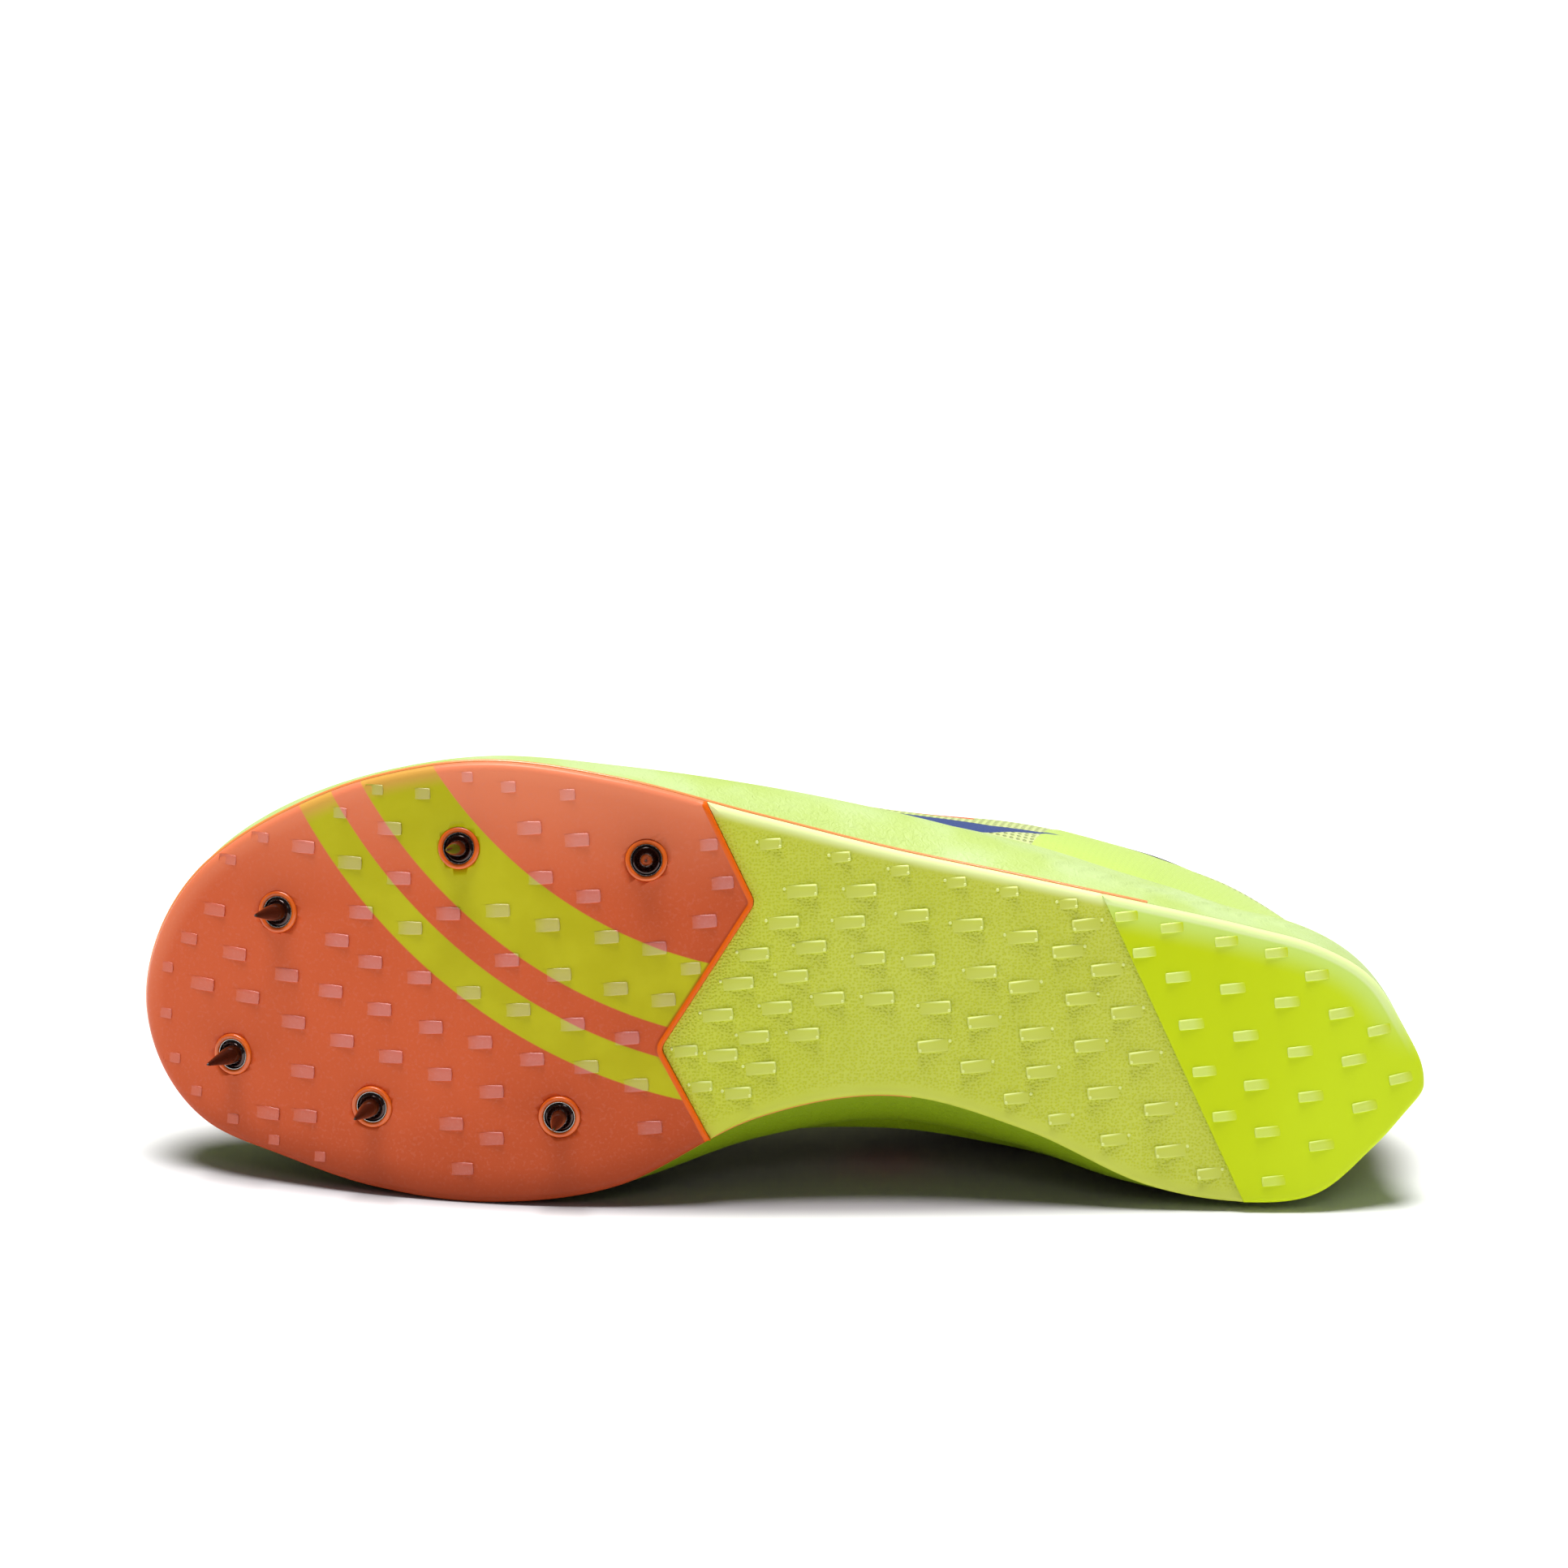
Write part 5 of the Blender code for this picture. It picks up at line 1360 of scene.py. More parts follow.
# %% Cups and spikes
CUP = [
    (0.0, -2.6), (3.5, -2.6), (3.5, 0.12), (3.48, 0.22), (3.43, 0.29), (3.36, 0.29), (3.31, 0.2),
    (3.29, 0.0), (3.29, -1.6), (0.0, -1.6),
]
SPIKE = [
    (0.0, -1.3), (3.22, -1.3), (3.22, -0.2), (3.17, -0.08), (3.05, 0.0), (2.86, 0.06), (2.65, 0.2),
    (2.47, 0.42), (2.34, 0.75), (2.22, 1.2), (2.05, 1.8), (1.66, 4.0), (1.2, 6.6), (0.72, 9.1),
    (0.4, 10.7), (0.2, 11.35), (0.0, SPIKE_LENGTH),
]
RIM_HEIGHT = 0.18


def dark_steel():
    """Blackened steel: a warm near-black with fine turning marks in its roughness."""
    steel = new_finish("dark_steel", Metallic=0.6, Coat_Weight=0.6, Coat_Roughness=0.04)
    shoe = place(steel)
    streaks = grain(steel, shoe, 0.8, 3.0)
    drive(steel, "Base Color", blend(steel, streaks, (0.008, 0.002, 0.002, 1.0), (0.030, 0.006, 0.003, 1.0)))
    drive(steel, "Roughness", ramp(steel, grain(steel, shoe, 3.0, 2.0), 0.3, 0.7, 0.08, 0.18))
    return steel


def cup_steel():
    """Dark inside and bright on the rim, by the height over the seat kept on the points."""
    steel = new_finish("cup_steel", Metallic=0.9, Coat_Weight=0.3, Coat_Roughness=0.08)
    shoe = place(steel)
    rim = ramp(steel, number(steel, "height"), RIM_HEIGHT - 0.15, RIM_HEIGHT + 0.15)
    drive(steel, "Base Color", blend(steel, rim, (0.006, 0.004, 0.004, 1.0), (0.60, 0.58, 0.57, 1.0)))
    drive(steel, "Roughness", ramp(steel, grain(steel, shoe, 2.0, 2.0), 0.3, 0.7, 0.16, 0.32))
    return steel


DARK_STEEL = dark_steel()
CUP_STEEL = cup_steel()
for number_from_1 in range(1, len(SEATS) + 1):
    seat = number_from_1 - 1
    cup_data = add_mesh(f"steel_cup_{number_from_1}", *turned(CUP, seat, TURNED_SIDES))
    heights = (stand(mesh_points(cup_data)) - SEATS[seat]) @ SPIKE_AXES[seat]
    mark(cup_data, "height", heights)
    add_piece(f"steel_cup_{number_from_1}", cup_data, CUP_STEEL, "cup", f"socket_{number_from_1}")
    pin_data = add_mesh(f"steel_spike_{number_from_1}", *turned(SPIKE, seat, TURNED_SIDES))
    add_piece(f"steel_spike_{number_from_1}", pin_data, DARK_STEEL, "pin", f"spike_{number_from_1}")

# %% [markdown]
# ## Upper
# The upper is one knitted wall with a padded collar, a raised eyestay along the throat, a film over the
# toe and a heel counter. It is one closed surface: up the outside, over the rounded top edge and down the
# inside. Its relief is a sum of soft steps, with the creases of the bending forefoot as shallow troughs.

# %% Wall and steps
WALL = 1.6
COLLAR_PADDING = 1.8
COLLAR_FROM = 0.70
COLLAR_FULL = 0.92
COLLAR_FRONT = 120.0
COLLAR_RUN = 24.0
EYESTAY_STEP = 0.7
EYESTAY_FROM = 0.80
EYESTAY_FULL = 0.83
EYESTAY_REAR = 124.0
EYESTAY_RUN = 12.0
FILM_STEP = 0.25
FILM_SOFT = 0.006
FILM_TOP = 0.30
FILM_TOE_RISE = 0.16
FILM_TOE = (225.0, 280.0)
FILM_FALL = 0.4
FILM_REAR = (190.0, 225.0)
COUNTER_TOP = 0.87
COUNTER_FALL = 0.9
COUNTER_FRONT = (78.5, 86.5)
QUARTER_PADDING = 0.65
QUARTER_REAR = (48.0, 62.0)
QUARTER_FRONT = (122.0, 150.0)
QUARTER_LOW = (0.15, 0.30)
QUARTER_HIGH = (0.88, 1.0)


def wall_depth(angle, share):
    """Thickness of the upper, padded along the collar."""
    collar = 1 - fade(station_of(angle), COLLAR_FRONT - COLLAR_RUN, COLLAR_FRONT)
    return WALL + COLLAR_PADDING * collar * fade(share, COLLAR_FROM, COLLAR_FULL)


def eyestay(angle, share):
    """Raised step of the eyestay, along the throat only."""
    beside_throat = fade(station_of(angle), EYESTAY_REAR, EYESTAY_REAR + EYESTAY_RUN)
    return EYESTAY_STEP * beside_throat * fade(share, EYESTAY_FROM, EYESTAY_FULL)


def quarter_padding(angle, share):
    """Soft padding of the outer quarter, from above the foam's lip to below the collar."""
    station = station_of(angle)
    along = fade(station, *QUARTER_REAR) * (1 - fade(station, *QUARTER_FRONT))
    up = fade(share, *QUARTER_LOW) * (1 - fade(share, *QUARTER_HIGH))
    return np.where(np.sin(angle) > 0, QUARTER_PADDING * along * up, 0.0)


def toe_film(angle, share):
    """Signed share by which a point lies under the toe film's top edge."""
    station = station_of(angle)
    top = FILM_TOP + FILM_TOE_RISE * fade(station, *FILM_TOE) - FILM_FALL * (1 - fade(station, *FILM_REAR))
    return top - share


def heel_counter(angle, share):
    """Signed share by which a point lies under the heel counter's top edge."""
    return COUNTER_TOP - COUNTER_FALL * fade(station_of(angle), *COUNTER_FRONT) - share


print("wall, mm:", WALL, "and with the collar's padding", round(WALL + COLLAR_PADDING, 1))

# %% [markdown]
# The forefoot bends at every stride. A trough with a low ridge on either side looks creased by use, where
# a plain groove would look cut.

# %% Creases of the forefoot
CREASES = table(
    "x slope depth width",
    (203.0, 0.18, 0.55, 2.6),
    (212.0, 0.10, 0.75, 3.2),
    (222.5, -0.05, 0.45, 2.8),
)
CREASE_MIDDLE = 47.0
CREASE_LOW = (0.42, 0.62)
CREASE_HIGH = (0.9, 1.0)


def creases(face, share):
    """Soft troughs with low ridges beside them across the bend of the forefoot."""
    depth = np.zeros(share.shape)
    for x, slope, deep, width in zip(*CREASES.values()):
        away = (face[..., 0] - x - slope * (face[..., 1] - CREASE_MIDDLE)) / width
        depth += deep * (away ** 2 - 1) * np.exp(-away ** 2)
    return depth * fade(share, *CREASE_LOW) * (1 - fade(share, *CREASE_HIGH))


def outer_relief(angle, share):
    """Height over the wall's face: eyestay, padding, films and creases together."""
    films = sum(fade(film(angle, share), -FILM_SOFT, FILM_SOFT) for film in (toe_film, heel_counter))
    steps = eyestay(angle, share) + quarter_padding(angle, share) + FILM_STEP * films
    return steps + creases(upper_face(angle, share), share)


print("creases across the forefoot:", len(CREASES["x"]))

# %% [markdown]
# Round eyelets are opened in the grid itself: five square rings of grid points round each eyelet are drawn
# onto circles, and the faces inside the second ring are left out, on the outside and the inside alike. A
# short tube then joins the two. That keeps clean quads round every hole.

# %% Grid of the upper with its eyelets
EYELET_STATIONS = (233.0, 208.0, 191.0, 178.0, 164.0, 149.0)
EYELET_SHARE = 0.905
EYELET_RADIUS = 1.9
UPPER_COLUMNS = 600
UPPER_SHARES = np.concatenate([
    np.linspace(0, 0.74, 36), np.linspace(0.748, 0.976, 29), [0.982, 0.988, 0.9925, 0.996, 0.9985, 1.0],
])
EYELET_CIRCLES = {2: EYELET_RADIUS, 3: EYELET_RADIUS + 0.55, 4: EYELET_RADIUS + 1.25}
EYELET_RING = 2
RING_REACH = 4


def draw_eyelet(angle_grid, share_grid, side, station):
    """Move the grid points round one eyelet onto circles. Steps on the wall are measured along two
    square directions, so that the circles stay round where the grid is slanted."""
    columns = angle_grid.shape[1]
    centre_angle = float(loop_angle(side, station))
    column = int(np.argmin(np.abs(angle_grid[0] - centre_angle)))
    row = int(np.argmin(np.abs(UPPER_SHARES - EYELET_SHARE)))
    angle, share = angle_grid[row, column], share_grid[row, column]
    step = 0.002
    by_angle = (upper_face(angle + step, share) - upper_face(angle - step, share)) / (2 * step)
    by_share = (upper_face(angle, share + step) - upper_face(angle, share - step)) / (2 * step)
    first = unit(by_angle)
    second = unit(by_share - (by_share @ first) * first)
    reach = np.arange(-RING_REACH, RING_REACH + 1)
    across, up = np.meshgrid(reach, reach)
    ring = np.maximum(np.abs(across), np.abs(up))
    rows, cols = row + up, (column + across) % columns
    away = (angle_grid[rows, cols] - angle)[..., None] * by_angle
    away = away + (share_grid[rows, cols] - share)[..., None] * by_share
    bearing = np.arctan2(away @ second, away @ first)
    radius = np.select([ring == k for k in EYELET_CIRCLES], list(EYELET_CIRCLES.values()), 0.0)
    share_step = radius * np.sin(bearing) / (by_share @ second)
    angle_step = (radius * np.cos(bearing) - share_step * (by_share @ first)) / np.linalg.norm(by_angle)
    moved = ring >= EYELET_RING
    angle_grid[rows[moved], cols[moved]] = angle + angle_step[moved]
    share_grid[rows[moved], cols[moved]] = share + share_step[moved]
    return row, column


def eyelet_loop(row, column):
    """Grid places of the hole's edge, in order round the second ring."""
    k = EYELET_RING
    run = np.arange(-k, k)
    across = np.concatenate([run, np.full(2 * k, k), -run, np.full(2 * k, -k)])
    up = np.concatenate([np.full(2 * k, -k), run, np.full(2 * k, k), -run])
    return row + up, (column + across) % UPPER_COLUMNS


angle_grid, share_grid = np.meshgrid(TURN * np.arange(UPPER_COLUMNS) / UPPER_COLUMNS, UPPER_SHARES)
eyelets = [
    draw_eyelet(angle_grid, share_grid, side, station)
    for side in (OUTER, INNER) for station in EYELET_STATIONS
]
print("eyelets drawn into the grid:", len(eyelets))


# %% [markdown]
# The wall is drawn twice on the same grid, once outside and once inside, and joined over the top edge and
# under the foot. A solidify modifier could give a plain wall its thickness, but not a collar with its own
# padding or eyelets with a clean tube.

# %% Surface of the upper
RIB_OVER_CHORD = 1.1


def upper_surface():
    """Outside rows, then inside rows from the top edge down, as one closed tube of rings. Both sides
    draw together over half the wall's thickness to round the top edge."""
    columns = angle_grid.shape[1]
    outside = outer_relief(angle_grid, share_grid)
    inside = -wall_depth(angle_grid, share_grid)
    foot, _, _, top = rib(angle_grid)
    to_top = (1 - share_grid) * np.linalg.norm(top - foot, axis=-1) * RIB_OVER_CHORD
    half = (outside - inside) / 2
    rounding = half * (1 - np.sqrt(1 - np.clip(1 - to_top / half, 0, 1) ** 2))
    outer = upper_skin(angle_grid, share_grid, outside - rounding)
    inner = upper_skin(angle_grid, share_grid, inside + rounding)
    for wall in (outer, inner):
        wall[0, :, 2] = bed(wall[0, :, 0]) + GAP
    rings = np.concatenate([outer, inner[-2::-1]])
    count = len(rings)
    faces = grid_faces(count, columns, loop_rows=True)
    open_places = np.zeros((count, columns), bool)
    tubes = []
    for row, column in eyelets:
        k = EYELET_RING
        block_rows = np.arange(row - k, row + k)[:, None]
        block_columns = np.arange(column - k, column + k)[None] % columns
        open_places[block_rows, block_columns] = True
        open_places[count - 2 - block_rows, block_columns] = True
        loop_rows, loop_columns = eyelet_loop(row, column)
        near = loop_rows * columns + loop_columns
        far = (count - 1 - loop_rows) * columns + loop_columns
        tubes.append(np.stack([near, far, np.roll(far, -1), np.roll(near, -1)], -1))
    faces = faces[~open_places.ravel()]
    return rings, [faces, np.concatenate(tubes)]


upper_rings, upper_faces = upper_surface()
used = np.zeros(upper_rings.shape[0] * UPPER_COLUMNS, bool)
for faces in upper_faces:
    used[faces.ravel()] = True
renumber = np.cumsum(used) - 1
kept_faces = [renumber[faces] for faces in upper_faces]
upper_mesh = add_mesh("knit_upper", upper_rings.reshape(-1, 3)[used], kept_faces)
print("upper:", len(upper_mesh.polygons), "faces")

# %% [markdown]
# The knit is an open mesh: pale threads with small holes in staggered rows. Its pattern needs places along
# the cloth, so each point keeps how far round and how far up the wall it is. Panels are numbers that change
# sign at a panel's edge, and the material draws them crisply wherever they pass zero.

# %% Marks for the panels
DARTS = {
    "blue_dart": (OUTER, table(
        "x low high", (77, 37.2, 36.8), (96, 26, 30.6), (118, 18, 30), (119, 30, 29))),
    "red_strip": (OUTER, table(
        "x low high", (98.5, 39, 35), (99.5, 35, 38.5), (113, 33.6, 37.1), (114, 37, 33))),
    "red_patch": (INNER, table(
        "x low high", (110, 40, 30), (113, 22, 44), (125, 22, 44), (128, 40, 30))),
    "dark_strip": (INNER, table(
        "x low high", (86, 26, 24), (90, 22, 26), (108, 22, 30.5), (115, 26, 25))),
}
OFF_SIDE = -10.0
COLLAR_EDGE = 0.985
COLLAR_DIP = 0.225
DIP_REAR = (46.0, 60.0)
DIP_FRONT = (72.0, 95.0)
DIP_RETURN = 0.73
COLLAR_END = (100.0, 135.0)
RIB_LENGTH = 80.0
COLLAR_LENGTH = 70.0
STAY_FALL = 40.0
COLLAR_FALL = 60.0


def dart_depth(face, angle, side, dart):
    """How far a point lies inside a dart, in mm: the smaller distance to its low and high lines."""
    low, high = (np.interp(face[..., 0], dart["x"], dart[name]) for name in ("low", "high"))
    inside = np.minimum(face[..., 2] - low, high - face[..., 2])
    return np.where(side * np.sin(angle) > 0, inside, OFF_SIDE)


def both_sides(outer_values):
    """A grid of the outside carried on to the inside rows as well."""
    return np.concatenate([outer_values, outer_values[-2::-1]])


def keep_marks(data):
    """Keep on the upper's points: place on the cloth, panel edges, and the inside of the wall."""
    face = upper_face(angle_grid, share_grid)
    up = np.cumsum(np.linalg.norm(np.diff(face, axis=0, prepend=face[:1]), axis=-1), axis=0)
    middle = face[len(face) // 2]
    around = np.cumsum(np.linalg.norm(np.diff(middle, axis=0, prepend=middle[:1]), axis=-1))
    cloth = np.stack([np.broadcast_to(around, up.shape), up, np.zeros_like(up)], -1)
    station = station_of(angle_grid)
    dip = COLLAR_DIP * fade(station, *DIP_REAR) * (1 - DIP_RETURN * fade(station, *DIP_FRONT))
    beside_throat = fade(station, EYESTAY_REAR, EYESTAY_REAR + EYESTAY_RUN)
    beside_collar = fade(station, *COLLAR_END)
    marks = {
        "stay": (share_grid - EYESTAY_FROM) * RIB_LENGTH - STAY_FALL * (1 - beside_throat),
        "film": toe_film(angle_grid, share_grid) * RIB_LENGTH,
        "counter": heel_counter(angle_grid, share_grid) * RIB_LENGTH,
        "collar": (share_grid - COLLAR_EDGE + dip) * COLLAR_LENGTH - COLLAR_FALL * beside_collar,
    }
    marks |= {name: dart_depth(face, angle_grid, *dart) for name, dart in DARTS.items()}
    mark(data, "cloth", both_sides(cloth).reshape(-1, 3)[used])
    for name, values in marks.items():
        mark(data, name, both_sides(values).ravel()[used])
    inside = np.concatenate([np.zeros(share_grid.shape), np.ones((len(share_grid) - 1, UPPER_COLUMNS))])
    mark(data, "inside", inside.ravel()[used])


keep_marks(upper_mesh)
print("marks on the upper:", len(DARTS), "darts and", len(upper_mesh.attributes), "attributes in all")

# %% [markdown]
# The finish is built in layers, as the real upper is: knit first, then the films welded over toe and
# heel, then the coloured darts, and last the dark collar and lining. Where a film covers the knit, the
# holes stay only as a faint print through it.

# %% Knit upper finish
KNIT = (0.46, 0.57, 0.13, 1.0)
KNIT_PALE = (0.53, 0.59, 0.27, 1.0)
KNIT_HOLE = (0.30, 0.36, 0.11, 1.0)
FILM = (0.47, 0.63, 0.12, 1.0)
BLUE = (0.024, 0.052, 0.19, 1.0)
WARM_DARK = (0.030, 0.012, 0.012, 1.0)
WARM_RED = (0.70, 0.085, 0.012, 1.0)
LINING = (0.020, 0.020, 0.026, 1.0)
DART_TONES = {"blue_dart": BLUE, "red_strip": WARM_RED, "red_patch": WARM_RED, "dark_strip": WARM_DARK}
THREAD = 1.5


def slanted_waves(cloth, along, up, rate):
    """Two waves that cross: the sines of the sum and of the difference of two lengths, times a rate."""
    slants = [sums(cloth, way, along, up) for way in ("ADD", "SUBTRACT")]
    return [sums(cloth, "SINE", sums(cloth, "MULTIPLY", slant, rate), 0.0) for slant in slants]


def knit_holes(knit):
    """0 on a thread and 1 in a hole: the product of two sines of the place on the cloth, staggered."""
    cloth = wire(knit, "ShaderNodeSeparateXYZ", {"Vector": place(knit, "cloth")})
    waves = slanted_waves(knit, cloth.outputs["X"], cloth.outputs["Y"], math.pi / THREAD)
    return ramp(knit, sums(knit, "MULTIPLY", *waves), 0.1, 0.75)


def inside_edge(knit, name, soft=0.3):
    """1 where a panel's number is above zero."""
    return ramp(knit, number(knit, name), -soft, soft)


def knit_upper():
    """Knit with holes, then film panels, darts, and the dark collar and lining, each over the last."""
    knit = new_finish("knit_upper", Sheen_Weight=0.25, Sheen_Roughness=0.5, Specular_IOR_Level=0.25)
    shoe = place(knit)
    holes = knit_holes(knit)
    clouds = ramp(knit, grain(knit, shoe, 0.05, 3.0), 0.2, 0.8)
    colour = blend(knit, clouds, KNIT, KNIT_PALE)
    colour = blend(knit, holes, colour, KNIT_HOLE)
    panels = inside_edge(knit, "film")
    for name in ("counter", "stay"):
        panels = sums(knit, "MAXIMUM", panels, inside_edge(knit, name))
    colour = blend(knit, panels, colour, FILM)
    for name, tone in DART_TONES.items():
        dart = inside_edge(knit, name, 0.25)
        colour = blend(knit, dart, colour, tone)
        panels = sums(knit, "MAXIMUM", panels, dart)
    collar = inside_edge(knit, "collar")
    dark = sums(knit, "MAXIMUM", collar, ramp(knit, number(knit, "inside"), 0.4, 0.6))
    drive(knit, "Base Color", blend(knit, dark, colour, LINING))
    drive(knit, "Roughness", sums(knit, "SUBTRACT", 0.82, sums(knit, "MULTIPLY", panels, 0.3)))
    depth = sums(knit, "MULTIPLY", holes, ramp(knit, panels, 0.0, 1.0, 1.0, 0.12))
    lumps = relief(knit, grain(knit, shoe, 1.8, 3.0), 0.08)
    drive(knit, "Normal", relief(knit, sums(knit, "SUBTRACT", 1.0, depth), 0.35, lumps))
    return knit


add_piece("knit_upper", upper_mesh, knit_upper(), "upper", "upper")

# %% [markdown]
# ## Tongue, insole and laces
# Under the throat lies a thin padded tongue, and a cloth covered insole lies in the shoe. The laces are
# flat and woven. The front one lies straight across and dips into both its eyelets. Every other run comes
# out of an eyelet, bunched by the hole, spreads to its width, crosses the throat and slips under the far
# edge to the next eyelet, pressed flat between the wall and the tongue.

# %% Lines on the upper
RIB_STEPS = 9
BRIDGE_PULL = 0.6
NEAR_EDGE = 0.97


def up_the_rib(angle, low_share, depth):
    """Points up one rib from a share to just short of the top edge, a distance off the wall."""
    shares = np.linspace(low_share, 1, RIB_STEPS)[:-1]
    return upper_skin(np.full(shares.shape, angle), shares, depth)


def over_throat(start_angle, end_angle, depth, steps):
    """Arched line between two edges of the throat: a cubic that leaves and arrives along the ribs."""
    start, start_in, end, end_in = (
        upper_skin(np.array(angle), np.array(share), depth)
        for angle in (start_angle, end_angle) for share in (1.0, NEAR_EDGE)
    )
    pull = BRIDGE_PULL * np.linalg.norm(end - start)
    leave = pull * unit(start - start_in)
    arrive = pull * unit(end_in - end)
    t = np.linspace(0, 1, steps)[:, None]
    rest = 1 - t
    return (start * (1 + 2 * t) + leave * t) * rest ** 2 + (end * (1 + 2 * rest) - arrive * rest) * t ** 2


bridge = over_throat(loop_angle(OUTER, 191.0), loop_angle(INNER, 191.0), 0.0, 9)
print("throat width at the third eyelet, mm:", round(float(np.linalg.norm(bridge[-1] - bridge[0])), 1))

# %% [markdown]
# The tongue follows the throat from the vamp to its free end, a little below the wall. Each line across
# it climbs one rib, crosses the throat and goes down the other side.

# %% Lines across the tongue
TONGUE = table(
    "station tuck",
    (283, 0.84),
    (208, 0.84),
    (176, 0.84),
    (162, 0.86),
    (150, 0.90),
    (141, 0.96),
)
TONGUE_TAIL = table("along up width", (-6.0, 3.0, 0.84), (-12.0, 6.5, 0.80), (-16.0, 9.5, 0.62))
TONGUE_ROWS = 60
TONGUE_STEPS = 25


def tongue_sheet(depth):
    """Lines across the tongue from the vamp to its free end, all at one distance off the wall."""
    stations = np.linspace(TONGUE["station"][0], TONGUE["station"][-1], TONGUE_ROWS)
    tucks = np.interp(-stations, -TONGUE["station"], TONGUE["tuck"])
    lines = []
    for station, tuck in zip(stations, tucks):
        ends = [float(loop_angle(side, station)) for side in (OUTER, INNER)]
        outer, inner = (up_the_rib(angle, tuck, depth) for angle in ends)
        lines.append(np.concatenate([outer, over_throat(*ends, depth, TONGUE_STEPS), inner[::-1]]))
    last = lines[-1]
    middle = last.mean(0)
    run = np.linspace(0, 1, 16)[1:, None]
    knots = np.array([0.0, 0.4, 0.75, 1.0])
    along, up, width = (
        np.interp(run, knots, np.concatenate([[start], TONGUE_TAIL[name]]))
        for name, start in (("along", 0.0), ("up", 0.0), ("width", 1.0))
    )
    away = np.concatenate([along, np.zeros_like(along), up], -1)[:, None]
    tail = middle + (last - middle) * width[..., None] + away
    return np.concatenate([np.array(lines), tail])


print("lines across the tongue:", TONGUE_ROWS)

# %% [markdown]
# Two such sheets, drawn together at the rim, make a soft pad, and a plain weave covers it.

# %% Tongue
TONGUE_THICKNESS = 2.2
TONGUE_CLEARANCE = 0.65


def padded_sheet(top, bottom, edge_rows=4):
    """Closed pad between two sheets on one grid: the distance between them falls to nothing at the rim
    as the root of the share in from it, which rounds the edge."""
    rows, columns = top.shape[:2]
    row = np.minimum(np.arange(rows), np.arange(rows)[::-1])[:, None] / edge_rows
    column = np.minimum(np.arange(columns), np.arange(columns)[::-1])[None] / edge_rows
    share = np.sqrt(1 - (1 - np.clip(np.minimum(row, column), 0, 1)) ** 2)[..., None]
    middle = (top + bottom) / 2
    high, low = middle + (top - middle) * share, middle + (bottom - middle) * share
    points = np.concatenate([high.reshape(-1, 3), low.reshape(-1, 3)])
    faces = grid_faces(rows, columns, loop_columns=False)
    index = np.arange(rows * columns).reshape(rows, columns)
    rim = np.concatenate([index[0], index[1:, -1], index[-1, -2::-1], index[-2:0:-1, 0]])
    twin = np.arange(len(points))
    twin[rim + rows * columns] = rim
    lower = twin[faces[:, ::-1] + rows * columns]
    kept = np.unique(twin)
    return points[kept], [np.searchsorted(kept, faces), np.searchsorted(kept, lower)]


def woven(name, colour, dark, pitch, **sockets):
    """Plain weave: two crossed waves of the place on the shoe, in colour and in bump."""
    cloth = new_finish(name, Roughness=0.85, Sheen_Weight=0.3, **sockets)
    shoe = place(cloth)
    apart = wire(cloth, "ShaderNodeSeparateXYZ", {"Vector": shoe})
    lengths = [sums(cloth, "MULTIPLY", apart.outputs[axis], TURN / pitch) for axis in "XY"]
    weave = sums(cloth, "MULTIPLY", *[sums(cloth, "SINE", length, 0.0) for length in lengths])
    shade = ramp(cloth, sums(cloth, "ADD", weave, grain(cloth, shoe, 0.4)), -0.6, 1.4)
    drive(cloth, "Base Color", blend(cloth, shade, dark, colour))
    drive(cloth, "Normal", relief(cloth, ramp(cloth, weave, -1.0, 1.0), 0.2))
    return cloth


tongue_depth = -(WALL + TONGUE_CLEARANCE)
tongue_mesh = add_mesh(
    "padded_tongue", *padded_sheet(tongue_sheet(tongue_depth), tongue_sheet(tongue_depth - TONGUE_THICKNESS)))
TONGUE_KNIT = woven("tongue_knit", (0.60, 0.76, 0.12, 1.0), (0.34, 0.44, 0.03, 1.0), 1.4)
tongue = add_piece("padded_tongue", tongue_mesh, TONGUE_KNIT, "tongue", "tongue")

# %% [markdown]
# The insole is a thin padded board with a dark cloth over it. Rings along the inside of the wall give it
# the exact shape of the shoe, and the last rings draw in to round its edge.

# %% Insole
INSOLE_THICKNESS = 3.0
INSOLE_CLEARANCE = 0.7
INSOLE_COLUMNS = 240


def insole_rings():
    """Rings of the insole board: along the inside of the wall, the top edge rounded over."""
    angle = TURN * np.arange(INSOLE_COLUMNS) / INSOLE_COLUMNS
    room = WALL + INSOLE_CLEARANCE
    rings = []
    for share, inset in ((0.0, 0.4), (0.5, 0.0), (0.8, 0.1), (0.95, 0.4), (1.0, 1.0)):
        height = GAP + INSOLE_THICKNESS * share
        level = bed(outline(LAST, angle)[:, 0]) + height
        ring = upper_skin(angle, share_at(angle, level), -room - inset)
        ring[:, 2] = bed(ring[:, 0]) + height
        rings.append(ring)
    return np.array(rings)


LINING_CLOTH = woven("lining_cloth", (0.035, 0.035, 0.045, 1.0), (0.012, 0.012, 0.016, 1.0), 1.2)
insole_mesh = add_mesh("cloth_insole", *closed_loft(insole_rings()))
insole = add_piece("cloth_insole", insole_mesh, LINING_CLOTH, "lining", "insole")

# %% [markdown]
# The middle lines of the laces come first, from the same ribs and arches as the tongue, so that a lace lies
# a known distance over the wall or under it.

# %% Runs of the laces
LACE_STEPS = 40
DIP = -1.4
TUCK_DEPTH = -1.95
CROSS_SHARE = 0.17


